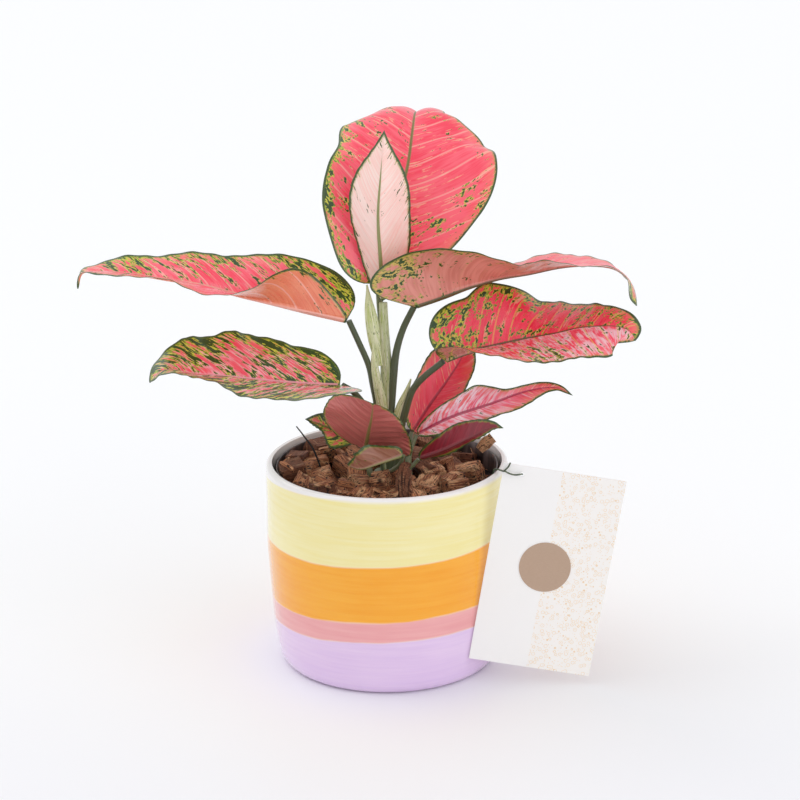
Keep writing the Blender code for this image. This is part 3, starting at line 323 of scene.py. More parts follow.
# Each leaf, in millimetres and degrees. "rib" gives points along the midrib, "up" the way its upper side
# faces at even steps, "half" the half width at its widest place and "ridge" the depth of the midrib. Each
# side has, at even steps, its "fold" up from flat, a further "curl" to the edge and "wide", a factor on the
# half width; "sweep" of its rows at the base and beyond it; and "wave": count, phase and height.
LEAVES = {
    "leaf_top": dict(
        half=47, widest=0.28, blunt=1.6, ridge=1.6,
        up=((0, -1, 0.1), (0, -1, 0.2), (0, -0.95, 0.4), (0, -0.6, 0.9), (0, 0.3, 1)),
        rib=((-3, 6, 224), (2, 12, 245), (8, 22, 266), (14, 34, 287), (17, 50, 304), (19, 72, 310),
             (23, 104, 297), (26, 122, 265)),
        left=dict(fold=(15, 11, 10, 10, 12, 20, 24, 26, 20, 10, 0), curl=(0, 0, 0, -10, -25, -45, -75, -95,
                  -90, -80, -60), wide=(0.9, 0.86, 0.94, 0.95, 0.92, 1.02, 0.82, 0.8, 0.9, 0.95, 0.95),
                  sweep=(-0.35, 0), wave=(3.5, 0.1, 2)),
        right=dict(fold=(10, 8, 6, 6, 6, 0, 25, 50, 40, 20, 0), curl=(0, 0, 0, 0, -10, -30, -50, -60, -80,
                   -80, -60), wide=(0.8, 0.82, 0.93, 1.06, 1.12, 1.05, 0.66, 0.62, 0.7, 0.8, 0.9),
                   sweep=(-0.25, 0.1), wave=(3.2, 0.55, 2))),
    "leaf_young": dict(
        half=20, widest=0.5, blunt=1.1, ridge=1.0,
        up=((0.1, 1, -0.1),),
        rib=((-1, 0, 216), (-2, -5, 241), (-3, -8, 267), (-1, -4, 292), (1, 4, 313)),
        left=dict(fold=(35, 25, 20, 25), wide=(1.1, 1, 0.9, 0.75), sweep=(-0.1, 0.3), wave=(2, 0.2, 0.8)),
        right=dict(fold=(35, 25, 20, 25), wide=(0.8, 0.9, 0.9, 0.8), sweep=(-0.1, 0.4), wave=(2, 0.6, 0.8))),
    "leaf_left_long": dict(
        half=34, widest=0.26, blunt=0.9, ridge=1.5,
        up=((0, 0, 1),),
        rib=((-22, -2, 205), (-43, -5, 211), (-65, -9, 218), (-84, -12, 224), (-103, -14, 230),
             (-123, -15, 234), (-145, -16, 238), (-160, -16, 239), (-169, -16, 238), (-172, -16, 229)),
        left=dict(fold=(88, 85, 52, 16, -3, 18, 2, 5, 8), curl=(20, 20, 10, 0, 0, 0), wide=(0.45, 0.68, 0.76,
                  0.76, 0.78, 0.72, 0.65, 0.6, 0.7), sweep=(0.1, 0.15), wave=(4, 0.3, 1.4)),
        right=dict(fold=(52, 52, 48, 40, 32, 28, 18, 12), curl=(-10, -10, 0, 0), wide=(1.2, 1.15, 1.05, 0.9,
                   0.84, 0.77, 0.77, 0.74, 0.78, 0.8, 0.9), sweep=(-0.55, 0.2), wave=(4, 0.1, 1.4))),
    "leaf_right_high": dict(
        half=34, widest=0.26, blunt=0.85, ridge=1.5,
        up=((0, 0, 1),),
        rib=((18, -9, 215), (34, -11, 221), (48, -13, 227), (64, -14, 232), (81, -15, 235), (99, -17, 239),
             (115, -18, 240), (129, -20, 238), (137, -21, 231), (141, -22, 217)),
        left=dict(fold=(12, 8, 0, -2, 2, -8, -12, -10), wide=(1, 1, 1, 0.95, 0.95), sweep=(-0.5, 0.2),
                  wave=(4, 0.4, 1.6)),
        right=dict(fold=(82, 76, 46, 26, 20, 12, 8, -20), wide=(1.15, 1.05, 0.95, 0.85, 1.1),
                   sweep=(-1.8, 0.1), wave=(4, 0.1, 1.2))),
    "leaf_right_mid": dict(
        half=37, widest=0.26, blunt=0.7, ridge=1.5,
        up=((0, -0.5, 0.87),),
        rib=((34, -14, 184), (47, -17, 190), (58, -19, 193), (80, -23, 199), (97, -26, 203), (107, -28, 206),
             (120, -31, 208), (130, -33, 208), (136, -36, 206), (139, -40, 202)),
        left=dict(fold=(35, 34, 30, 32, 24, -8, -10, -14, -6, 0, 0), wide=(0.9, 0.95, 0.87, 1, 0.93, 0.93, 1,
                  0.9, 0.9, 1, 0.85), sweep=(-0.65, -0.05), wave=(4, 0.3, 1.2)),
        right=dict(fold=(75, 60, 45, 35, 26, 22, 17, 9, 0, -3, 0), wide=(0.8, 0.86, 0.92, 0.98, 1, 1.02, 1.06,
                   1.08, 1.12, 1.4, 2), sweep=(-0.3, 0.1), wave=(3, 0.2, 1))),
    "leaf_left_low": dict(
        half=31, widest=0.34, blunt=0.85, ridge=1.4,
        up=((0, -0.2, 1),),
        rib=((-26, -14, 170), (-49, -19, 173), (-72, -24, 177), (-94, -28, 181), (-109, -30, 183),
             (-119, -32, 186), (-126, -33, 185), (-132, -34, 179)),
        left=dict(fold=(15, 16, 6, 4, 16, 20, 5), wide=(1, 1.05, 1.1, 1.05, 0.9, 0.78, 0.68, 0.85, 0.85, 0.8,
                  0.8), sweep=(-1.4, 0.2), wave=(3, 0.2, 1.2)),
        right=dict(fold=(25, 25, 26, 26, 24, 15, 0), wide=(1.15, 1.15, 0.97, 0.98, 1.06, 1.06, 1.03, 1.18,
                   1.24, 1.15, 1.15), sweep=(-0.3, 0.25), wave=(4, 0.2, 1.5))),
    "leaf_front": dict(
        half=27, widest=0.4, blunt=0.35, ridge=0.9,
        up=((0, 1, 0.2), (0, 1, 0.1), (0, 1, -0.1)),
        rib=((-12, -20, 134), (-10, -29, 147), (-8, -39, 159), (-7, -46, 169)),
        left=dict(fold=(5, 0, 0, 6), wide=(1.1, 1, 0.9, 0.8), sweep=(-0.5, -0.5), wave=(2, 0.2, 1)),
        right=dict(fold=(5, 0, 0, 6), wide=(1, 1, 1.05, 1.1), sweep=(0.1, 0.4), wave=(2, 0.5, 1))),
    "leaf_front_small": dict(
        half=13, widest=0.5, blunt=0.8, ridge=0.6,
        up=((0, 0, 1),),
        rib=((9, -34, 134), (-4, -41, 132), (-15, -44, 130), (-22, -45, 133)),
        left=dict(fold=(80, 85, 75, 60), wide=(1, 1, 1), sweep=(-0.4, 0.5), wave=(2.5, 0.2, 1.8)),
        right=dict(fold=(50, 45, 40), wide=(0.9,), sweep=(-0.2, 0.3), wave=(2.5, 0.4, 1.2))),
    "leaf_back_pink": dict(
        half=18, widest=0.5, blunt=0.8, ridge=0.8,
        up=((0, -1, 0.3),),
        rib=((15, -2, 138), (25, 6, 151), (36, 12, 165), (44, 16, 177), (48, 18, 188)),
        left=dict(fold=(25, 18, 15), wide=(1,), sweep=(-0.2, 0.4), wave=(3, 0.2, 0.8)),
        right=dict(fold=(25, 18, 15), wide=(1, 0.9, 0.7, 0.65, 0.7), sweep=(-0.2, 0.4), wave=(3, 0.5, 0.8))),
    "leaf_right_low": dict(
        half=14, widest=0.42, blunt=0.95, ridge=0.8,
        up=((0, -0.8, 0.6),),
        rib=((18, -10, 139), (36, -18, 151), (59, -24, 161), (81, -28, 170), (96, -30, 172), (105, -32, 168)),
        left=dict(fold=(25, 12, 10, 10), wide=(0.7, 0.7, 0.75, 0.8, 0.92, 0.68, 0.38, 0.34, 0.45, 0.5, 0.6),
                  sweep=(-0.2, 0.35), wave=(3, 0.2, 1)),
        right=dict(fold=(15, 5, 0, 0), wide=(0.6, 0.68, 0.75, 0.72, 0.62, 0.6, 0.72, 0.66, 0.48, 0.4, 0.5),
                   sweep=(-0.2, 0.4), wave=(3, 0.5, 1))),
    "leaf_crimson": dict(
        half=12, widest=0.45, blunt=1.0, ridge=0.7,
        up=((0, 1, 0.3),),
        rib=((19, -16, 126), (33, -24, 134), (47, -30, 143), (59, -33, 150), (66, -34, 150)),
        left=dict(fold=(15,), wide=(0.5, 0.4, 0.4, 0.5), sweep=(-0.2, 0.5), wave=(2, 0.2, 0.8)),
        right=dict(fold=(20,), wide=(0.8, 0.9, 0.7), sweep=(-0.2, 0.5), wave=(2, 0.5, 0.8))),
    "leaf_left_small": dict(
        half=9, widest=0.4, blunt=1.0, ridge=0.5,
        up=((0, -0.7, 0.7),),
        rib=((-17, -14, 138), (-29, -17, 144), (-39, -19, 149), (-46, -20, 152)),
        left=dict(fold=(10,), wide=(1, 1.4, 0.5, 0.5), sweep=(-0.2, 0.4), wave=(2, 0.2, 0.8)),
        right=dict(fold=(20,), wide=(0.9,), sweep=(-0.2, 0.4), wave=(2, 0.5, 0.8))),
}

# How the veins and marks of all leaves are drawn, in millimetres and waves per millimetre
PATCH_SCALE = 0.26
SPECK_SCALE = 0.85
STREAK_SCALE = 0.75
STREAK_STRETCH = 0.07
BROAD_SCALE = 0.045
VEIN_THIN_FROM = 6.0  # this far from the margin, the side veins start to get thinner
VEIN_THINNING = 0.9
VEIN_LINE = (0.55, 0.15)  # distance from a vein at which its line starts, and is full
LIME_FROM = (0.62, 0.68)  # density at which the lime marks start, and are full
GREEN_FROM = (0.70, 0.74)  # and the dark ones within them
UNDER_MARKS = 0.65  # strength of the lime on the lower face

# Leaf colours. "upper" and "under" are the light and the deep tone of each face. "veins" is how many side
# veins leave the rib on each side, "forward" how far they run towards the tip per reach, and "quilt" how
# high the blade stands between them. The green marks get denser with "mottle" everywhere, "edge" within
# "reach" of the margin and "base" near the stalk, each for the left and the right half, and at "spots":
# x, y, radius, strength on the flattened blade. "along" stretches them along the veins and "dark" turns
# more of their lime to green. "line" and "rib_width" are the widths of the margin's and the rib's lines.
# "sheen" pales the left and the right half with a painted sheen, light reflected off the glossy blade,
# together with the leaf's own pale streaks, up to "sheen_end" of the length. "vein_share" is the strength of
# the veins' colour and "gloss" the roughness.
PINK = (255, 100, 118)
RED = (250, 60, 88)
SALMON = (250, 146, 118)
CREAM = (255, 214, 172)
LIME = (206, 208, 70)
MOSS = (132, 158, 44)
GREEN = (42, 74, 22)
MARGIN = (60, 84, 38)
# Painted sheen, light reflected off the glossy blades, together with their own pale streaks
PAINTED_SHEEN_AND_STREAKS = (250, 216, 226)
STYLE_DEFAULTS = dict(
    vein_share=0.4, forward=0.7, quilt=0.3, base=(0.0, 0.0), gloss=0.34, sheen=(0.0, 0.0), sheen_end=2.0,
    along=0.5, dark=0.0, line=1.15, rib_width=1.4, spots=())
STYLES = {
    "leaf_top": dict(
        upper=(PINK, RED), under=((232, 164, 146), (206, 124, 110)), rib=(104, 120, 44), vein=(255, 194, 176),
        vein_share=0.5, veins=15, forward=0.62, quilt=0.4, mottle=(-0.14, -0.19), edge=(0.5, 0.3), reach=6.0,
        base=(0.06, 0.04), along=0.7, spots=((61, 36, 6, 0.36), (40, 27, 7, 0.34), (33, 13, 7, 0.3))),
    "leaf_young": dict(
        upper=((238, 150, 140), (226, 118, 116)), under=((255, 226, 216), (252, 194, 182)),
        rib=(122, 134, 58), vein=(246, 224, 206), vein_share=0.35, veins=12, forward=1.2, quilt=0.2,
        mottle=(-0.2, -0.2), edge=(0.38, 0.38), reach=2.6, line=1.25, rib_width=0.8),
    "leaf_left_long": dict(
        upper=(PINK, RED), under=((242, 146, 110), (228, 104, 76)), rib=(244, 176, 160), vein=(252, 190, 176),
        vein_share=0.6, veins=11, forward=1.0, quilt=0.45, mottle=(-0.26, -0.08), edge=(0.36, 0.34),
        reach=7.0, base=(0.0, 0.2), gloss=0.26, sheen=(0.3, 0.18), along=0.55, dark=0.02,
        spots=((124, 12, 14, 0.16), (14, 20, 13, 0.12))),
    "leaf_right_high": dict(
        upper=(PINK, RED), under=((230, 150, 134), (204, 112, 98)), rib=(62, 80, 42), vein=(222, 160, 120),
        vein_share=0.22, veins=13, forward=0.6, quilt=0.6, mottle=(-0.24, -0.2), edge=(0.3, 0.26), reach=4.0,
        base=(0.1, 0.2), along=0.7, spots=((-2, 30, 12, 0.2), (14, 30, 8, 0.12), (128, 4, 16, 0.3))),
    "leaf_right_mid": dict(
        upper=((255, 76, 102), (247, 40, 76)), under=((216, 140, 128), (190, 104, 92)), rib=(72, 78, 36),
        vein=(236, 196, 92), vein_share=0.6, veins=12, forward=0.5, quilt=0.5, mottle=(-0.03, -0.08),
        edge=(0.24, 0.1), reach=7.0, base=(0.2, 0.1), gloss=0.28, sheen=(0.0, 0.75), along=0.6),
    "leaf_left_low": dict(
        upper=((248, 92, 108), (236, 54, 80)), under=((96, 108, 60), (76, 88, 44)), rib=(236, 156, 166),
        vein=(246, 150, 158), vein_share=0.8, veins=8, forward=1.1, quilt=0.7, mottle=(0.12, 0.1),
        edge=(0.22, 0.3), reach=7.0, gloss=0.22, sheen=(0.85, 0.6), along=0.42, dark=0.06),
    "leaf_front": dict(
        upper=((214, 80, 84), (190, 50, 60)), under=((196, 108, 100), (168, 78, 74)), rib=(126, 120, 62),
        vein=(184, 116, 96), veins=8, quilt=0.5, mottle=(-0.3, -0.34), edge=(0.3, 0.14), reach=2.5,
        gloss=0.42, line=0.6),
    "leaf_front_small": dict(
        upper=((176, 96, 84), (150, 72, 62)), under=((158, 104, 82), (134, 82, 64)), rib=(126, 126, 64),
        vein=(170, 126, 94), veins=6, mottle=(-0.16, -0.16), edge=(0.3, 0.3), reach=2.0, gloss=0.4),
    "leaf_back_pink": dict(
        upper=((255, 76, 102), (255, 40, 74)), under=((206, 120, 112), (186, 92, 86)), rib=(186, 48, 76),
        vein=(246, 130, 132), vein_share=0.2, veins=8, mottle=(-0.24, -0.26), edge=(0.36, 0.36), reach=3.5,
        line=0.8),
    "leaf_right_low": dict(
        upper=((248, 98, 130), (230, 50, 84)), under=((180, 84, 90), (150, 60, 66)), rib=(176, 46, 80),
        vein=(246, 180, 206), vein_share=0.5, veins=8, forward=1.0, quilt=0.55, mottle=(-0.26, -0.22),
        edge=(0.22, 0.26), reach=2.2, gloss=0.2, sheen=(1.0, 0.9), sheen_end=0.72, along=0.8, line=0.8),
    "leaf_crimson": dict(
        upper=((156, 42, 58), (124, 26, 40)), under=((148, 34, 50), (112, 22, 36)), rib=(116, 36, 42),
        vein=(150, 50, 60), veins=8, forward=0.9, mottle=(-0.4, -0.4), edge=(0.16, 0.16), reach=1.5,
        gloss=0.36, line=0.9),
    "leaf_left_small": dict(
        upper=((236, 96, 100), (212, 62, 72)), under=((150, 110, 84), (120, 86, 64)), rib=(112, 122, 56),
        vein=(216, 136, 100), veins=6, mottle=(0.02, 0.02), edge=(0.26, 0.26), reach=3.0, gloss=0.38),
}
LEAF_SLOTS = {"leaf_young": "young_leaf", "leaf_front": "dark_leaf", "leaf_front_small": "dark_leaf",
              "leaf_crimson": "dark_leaf"}


# -------------------- materials

def srgb(colour):
    """Linear RGBA of an 8-bit screen colour."""
    parts = [part / 255 for part in colour]
    linear = [part / 12.92 if part <= 0.04045 else ((part + 0.055) / 1.055) ** 2.4 for part in parts]
    return (*linear, 1.0)


class Signal:
    """One output of a shader node."""

    def __init__(self, look, socket):
        self.look = look
        self.socket = socket

    def __add__(self, other):
        return self.look.math("ADD", self, other)

    def __mul__(self, other):
        return self.look.math("MULTIPLY", self, other)

    def axes(self):
        first = self.look.node("SeparateXYZ", 0, {0: self})
        return [Signal(self.look, socket) for socket in first.socket.node.outputs]

    def stretch(self, *scale):
        return self.look.node("VectorMath", 0, {0: self, 1: scale}, operation="MULTIPLY")

    def noise(self, scale, detail=3.0, roughness=0.55):
        values = {"Vector": self, "Scale": scale, "Detail": detail, "Roughness": roughness}
        return self.look.node("TexNoise", "Fac", values)

    def wide_noise(self, scale, detail):
        """Noise with its values spread well over 0 to 1."""
        return self.noise(scale, detail) * 2.4 + -0.7

    def cells(self, scale):
        return self.look.node("TexVoronoi", "Distance", {"Vector": self, "Scale": scale})

    def step(self, low, high):
        """0 below low, 1 above high, smooth between; low may be the larger of the two."""
        turned = low > high
        values = {"Value": self, "From Min": min(low, high), "From Max": max(low, high),
                  "To Min": float(turned), "To Max": float(not turned)}
        return self.look.node("MapRange", "Result", values, interpolation_type="SMOOTHSTEP")


class Look:
    """A node material built round one Principled shader."""

    def __init__(self, name):
        self.material = bpy.data.materials.new(name)
        self.material.use_nodes = True
        self.tree = self.material.node_tree
        self.shader = self.tree.nodes["Principled BSDF"]

    def feed(self, socket, value):
        """Links a signal to a socket, or sets a number or a screen colour on it."""
        if isinstance(value, Signal):
            self.tree.links.new(value.socket, socket)
        elif socket.type == "RGBA":
            socket.default_value = srgb(value)
        else:
            socket.default_value = value

    def set(self, **values):
        """Feeds the shader's inputs by name and gives the material."""
        for name, value in values.items():
            self.feed(self.shader.inputs[name.replace("_", " ").title().replace("Ior", "IOR")], value)
        return self.material

    def node(self, kind, output, values, **settings):
        made = self.tree.nodes.new("ShaderNode" + kind)
        for name, value in settings.items():
            setattr(made, name, value)
        for key, value in values.items():
            self.feed(made.inputs[key], value)
        return Signal(self, made.outputs[output])

    def value(self, name):
        return self.node("Attribute", "Fac", {}, attribute_name=name)

    def vector(self, name):
        return self.node("Attribute", "Vector", {}, attribute_name=name)

    def place(self):
        return self.node("TexCoord", "Object", {})

    def math(self, operation, *values):
        return self.node("Math", 0, dict(enumerate(values)), operation=operation)

    def mix(self, share, first, second):
        return self.node("Mix", 2, {0: share, 6: first, 7: second}, data_type="RGBA")

    def bump(self, height, distance):
        self.set(normal=self.node("Bump", 0, {"Distance": distance, "Height": height}))


def leaf_look(name, style, side):
    """One face of a leaf. Its attributes hold millimetres on the flattened blade."""
    look = Look(f"{name}_{side}")
    flat, grain, margin = look.vector("flat"), look.vector("grain"), look.value("margin")
    thinner = margin.step(VEIN_THIN_FROM, 0.0) * VEIN_THINNING + 1.0
    vein = look.math("PINGPONG", look.value("vein"), 0.5) * VEIN_SPACING * thinner
    along_veins = style["along"]
    patches = grain.stretch(1.0, along_veins, 1.0).wide_noise(PATCH_SCALE, 3.0)
    specks = grain.stretch(1.0, along_veins + 0.1, 1.0).wide_noise(SPECK_SCALE, 2.0)
    streaks = grain.stretch(1.0, STREAK_STRETCH, 1.0).wide_noise(STREAK_SCALE, 2.0)
    broad = flat.wide_noise(BROAD_SCALE, 1.0)
    beside = (vein + specks * 0.8).step(1.5, 0.2)
    density = look.value("marking") + broad * 0.2 + -0.1 + beside * 0.10

    streaked = (broad * 0.4 + streaks * 0.6).step(0.30, 0.70)
    colour = look.mix(streaked * (1.0 if side == "upper" else 0.6), *style[side])
    if side == "upper":
        colour = look.mix((margin + patches * 8.0).step(12.0, 3.0) * 0.45, colour, SALMON)
        colour = look.mix((streaks + patches * 0.5).step(0.95, 1.15) * 0.5, colour, CREAM)
        # Painted sheen: pale pink-white where light reflects, mixed with the leaf's own pale streaks.
        colour = look.mix(look.value("sheen") * (streaks * 0.5 + patches).step(0.45, 1.05), colour, PAINTED_SHEEN_AND_STREAKS)
    colour = look.mix(vein.step(*VEIN_LINE) * style["vein_share"], colour, style["vein"])
    marks = patches * 0.62 + specks * 0.38 + density
    lime = marks.step(*LIME_FROM)
    dark = lime * (marks + density * -0.45 + style["dark"]).step(*GREEN_FROM)
    if side == "under":
        lime = lime * UNDER_MARKS
    colour = look.mix(lime, colour, look.mix(specks.step(0.35, 0.75), LIME, MOSS))
    colour = look.mix(dark, colour, GREEN)
    colour = look.mix(look.value("rib").step(style["rib_width"], 0.7) * 0.9, colour, style["rib"])
    line = style["line"]
    colour = look.mix((margin + patches * 1.6).step(line + 1.8, line + 0.7) * 0.55, colour, MOSS)
    colour = look.mix((margin + specks * 0.7).step(line + 0.65, line + 0.15), colour, MARGIN)
    look.bump(flat.noise(2.2, 2.0) * 0.5 + streaks * 0.5, 0.00012)
    look.set(coat_weight=0.35, coat_roughness=0.22)
    return look.set(base_color=colour, roughness=patches * 0.10 + (style["gloss"] - 0.05))


def stalk_look():
    """Green stalks: tone 0 is a dark petiole, 1 a pale sheath."""
    look = Look("stalk_green")
    grain = look.vector("grain")
    streaks = grain.stretch(1.0, 0.06, 1.0).noise(1.3)
    specks = grain.stretch(1.0, 0.3, 1.0).noise(1.0)
    dark = look.mix(streaks, (38, 52, 30), (72, 86, 60))
    pale = look.mix(streaks.step(0.35, 0.65), (242, 242, 212), (182, 196, 106))
    pale = look.mix(specks.step(0.60, 0.68), pale, (92, 118, 46))
    look.bump(streaks, 0.0001)
    return look.set(base_color=look.mix(look.value("tone"), dark, pale), roughness=0.36)


def glaze_look():
    """Hand-painted bands under a clear glaze: strokes run round the pot."""
    look = Look("banded_glaze")
    place = look.place()
    x, y, z = place.axes()
    strokes = place.stretch(18.0, 18.0, 420.0).noise(1.0, 4.0, 0.6)
    washes = place.stretch(22.0, 22.0, 60.0).noise(1.0, 2.0)
    brush = strokes * 0.6 + washes * 0.4
    level = z + (place.noise(30.0, 2.0) * (2 * BAND_WOBBLE) + -BAND_WOBBLE)
    colour = GLAZE_WHITE
    for top, rise, fall, light, deep in BANDS:
        height = level + x * -rise + y * fall
        band = look.mix(brush.step(0.28, 0.72), light, deep)
        colour = look.mix(height.step(top + BAND_EDGE, top - BAND_EDGE), colour, band)
        away = look.math("ABSOLUTE", height + -top)
        line = away.step(BAND_LINE, BAND_EDGE) * strokes.step(0.35, 0.6) * 0.4
        colour = look.mix(line, colour, BAND_LINE_COLOUR)
    colour = look.mix(look.value("unpainted"), colour, GLAZE_WHITE)
    look.bump(strokes * 0.7 + washes, 0.00035)
    look.set(coat_weight=1.0, coat_roughness=0.03, specular_ior_level=0.15)
    return look.set(base_color=colour, roughness=brush * 0.14 + 0.10)


def liner_look():
    look = Look("liner_brown")
    place = look.place()
    # Lighter vertical streaks on the dark plastic are painted highlights.
    streaks = place.stretch(160.0, 160.0, 12.0).noise(1.0)
    dust = place.noise(90.0, 4.0)
    colour = look.mix(streaks.step(0.42, 0.72), (38, 29, 29), (104, 90, 88))
    colour = look.mix(dust.step(0.52, 0.70) * 0.6, colour, (112, 76, 54))
    look.bump(dust, 0.0002)
    return look.set(base_color=colour, roughness=dust * 0.3 + 0.25)


def husk_look():
    """Fibrous husk; grain holds millimetres in each chip's own axes, depth how far a point stands out.
    Points that lie low are darkened as painted shade.
    """
    look = Look("husk_fibre")
    grain, tint = look.vector("grain"), look.value("tint")
    fibres = grain.stretch(0.14, 2.4, 2.4).wide_noise(1.0, 5.0)
    faces = grain.stretch(0.10, 0.22, 0.22).wide_noise(1.0, 2.0)
    pits = grain.stretch(0.4, 0.8, 0.8).wide_noise(1.0, 4.0)
    # Tan: the husk's own paler fibre, and in part painted highlights on lit faces.
    tan = (faces * 0.7 + fibres * 0.4 + tint * -0.25).step(0.46, 0.66)
    colour = look.mix(fibres.step(0.22, 0.78), (140, 82, 54), (234, 158, 110))
    colour = look.mix(tan * 0.85, colour, (252, 196, 146))
    # Near-black pits: painted shade in the husk's small holes.
    colour = look.mix(pits.step(0.32, 0.16), colour, (40, 20, 13))
    colour = look.mix(tint.step(0.45, 1.0) * 0.75, colour, (98, 56, 40))
    # Painted shade: points that lie low, in the gaps between chips and in their hollows, turn near-black.
    colour = look.mix(look.value("depth").step(-0.10, -0.55), colour, (34, 18, 12))
    look.bump(fibres + pits * 0.9, 0.0009)
    return look.set(base_color=colour, roughness=0.85)


def soil_look():
    look = Look("dark_soil")
    crumbs = look.place().noise(420.0, 5.0, 0.7)
    look.bump(crumbs, 0.0015)
    return look.set(base_color=look.mix(crumbs.step(0.35, 0.65), (28, 18, 13), (74, 48, 34)), roughness=0.95)


def card_look():
    """White card; beyond a line, loose rings, dots and dashes in pale orange."""
    look = Look("printed_card")
    flat = look.vector("flat")
    sheet = flat.stretch(1.0, 1.0, 0.0)
    rings = sheet.cells(0.34)
    dots = sheet.cells(0.70)
    dashes = flat.stretch(0.34, 0.85, 0.0).cells(1.0)
    waves = look.math("SINE", rings * 23.0) * 0.5 + 0.5
    marks = waves.step(0.80, 0.93) * rings.step(0.46, 0.40)
    marks = look.math("MAXIMUM", marks, dots.step(0.21, 0.15) * rings.step(0.46, 0.52))
    marks = look.math("MAXIMUM", marks, dashes.step(0.16, 0.11) * 0.8)
    beyond = flat.axes()[0].step(PATTERN_FROM - PATTERN_EDGE, PATTERN_FROM + PATTERN_EDGE)
    area = beyond * look.value("printed")
    ink = marks * area * (flat.noise(0.25, 2.0) * 0.4 + 0.45)
    paper = look.mix(flat.noise(6.0), (246, 244, 242), (250, 249, 247))
    paper = look.mix(area * 0.2, paper, (252, 240, 224))
    look.bump(flat.noise(5.0), 0.00004)
    return look.set(base_color=look.mix(ink, paper, (236, 194, 124)), roughness=0.6)


def kraft_look():
    look = Look("kraft_brown")
    flat = look.vector("flat")
    fibres = flat.stretch(0.5, 3.0, 1.0).noise(1.0, 4.0, 0.7)
    colour = look.mix(fibres, (174, 146, 125), (196, 170, 148))
    colour = look.mix(flat.noise(3.2, 2.0).step(0.62, 0.72) * 0.5, colour, (160, 130, 108))
    look.bump(fibres, 0.00005)
    return look.set(base_color=colour, roughness=0.8)


def wire_look():
    look = Look("tie_wire")
    bands = look.place().noise(900.0, 2.0)
    look.bump(bands, 0.0001)
    return look.set(base_color=look.mix(bands.step(0.40, 0.62), (52, 66, 44), (112, 122, 96)), roughness=0.42)


def floor_look():
    look = Look("pale_floor")
    place = look.place()
    away = place.axes()[1] + place.noise(3.0) * 0.1
    # Painted shade: the floor darkens towards the front.
    colour = look.mix(away.step(FLOOR_NEAR, FLOOR_FAR), FLOOR_SHADE_COLOUR, FLOOR_COLOUR)
    return look.set(base_color=colour, roughness=0.6)


# -------------------- meshes

def link(obj):
    bpy.data.collections[COLLECTION].objects.link(obj)
    return obj


def mesh_object(name, points, faces, looks, face_looks=None, smooth=True):
    """A mesh in metres; faces is an array of quads or a list of loops."""
    mesh = bpy.data.meshes.new(name)
    faces = faces.tolist() if isinstance(faces, np.ndarray) else faces
    mesh.from_pydata(np.asarray(points, float).tolist(), [], faces)
    for look in looks:
        mesh.materials.append(look)
    if face_looks is not None:
        mesh.polygons.foreach_set("material_index", np.asarray(face_looks, np.int32))
    mesh.polygons.foreach_set("use_smooth", np.full(len(mesh.polygons), smooth))
    mesh.update()
    return link(bpy.data.objects.new(name, mesh))


def write_attribute(obj, name, values):
    """One number or vector for each point."""
    values = np.asarray(values, np.float32)
    wide = values.ndim == 2
    made = obj.data.attributes.new(name, "FLOAT_VECTOR" if wide else "FLOAT", "POINT")
    made.data.foreach_set("vector" if wide else "value", values.ravel())


def weld(obj, distance=WELD):
    """Joins the points that meet, such as at a leaf's tip or on an axis, and marks the sharp edges."""
    mesh = bmesh.new()
    mesh.from_mesh(obj.data)
    bmesh.ops.remove_doubles(mesh, verts=mesh.verts, dist=distance)
    bmesh.ops.recalc_face_normals(mesh, faces=mesh.faces)
    mesh.to_mesh(obj.data)
    mesh.free()
    obj.data.set_sharp_from_angle(angle=SHARP)


def grid_faces(rows, columns, closed=False):
    """Quads of a grid of points, stored row by row; closed joins the last column to the first."""
    last = columns if closed else columns - 1
    row, column = np.meshgrid(np.arange(rows - 1), np.arange(last), indexing="ij")
    after = (column + 1) % columns
    quads = np.stack([row * columns + column, row * columns + after,
                      (row + 1) * columns + after, (row + 1) * columns + column], -1)
    return quads.reshape(-1, 4)


def place_piece(obj, slot, node):
    """Rides on the body and stands for the CAD node; the slot is not used."""
    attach(obj, BODY)
    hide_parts(node)


# -------------------- curves, as in the CAD

def unit(vectors):
    return vectors / np.linalg.norm(vectors, axis=-1, keepdims=True)


def turns(sides):
    """Angles at even steps once round."""
    return np.arange(sides) * math.tau / sides


def travelled(points):
    """Length along a line of points, up to each of them."""
    return np.r_[0, np.cumsum(np.linalg.norm(np.diff(points, axis=0), axis=1))]


def smooth_curve(points, count):
    """count + 1 points, evenly spaced along the centripetal Catmull-Rom curve through the given ones."""
    knots = np.array(points, float)
    knots = np.vstack([2 * knots[0] - knots[1], knots, 2 * knots[-1] - knots[-2]])
    pieces = []
    for a, b, c, d in zip(knots, knots[1:], knots[2:], knots[3:]):
        t1 = np.linalg.norm(b - a) ** 0.5
        t2 = t1 + np.linalg.norm(c - b) ** 0.5
        t3 = t2 + np.linalg.norm(d - c) ** 0.5
        t = np.linspace(t1, t2, CURVE_STEPS, endpoint=False)[:, None]
        ab = (t1 - t) / t1 * a + t / t1 * b
        bc = (t2 - t) / (t2 - t1) * b + (t - t1) / (t2 - t1) * c
        cd = (t3 - t) / (t3 - t2) * c + (t - t2) / (t3 - t2) * d
        abc = (t2 - t) / t2 * ab + t / t2 * bc
        bcd = (t3 - t) / (t3 - t1) * bc + (t - t1) / (t3 - t1) * cd
        pieces.append((t2 - t) / (t2 - t1) * abc + (t - t1) / (t2 - t1) * bcd)
    dense = np.vstack(pieces + [knots[-2][None]])
    length = travelled(dense)
    even = np.linspace(0, length[-1], count + 1)
    return np.stack([np.interp(even, length, dense[:, axis]) for axis in range(3)], -1)


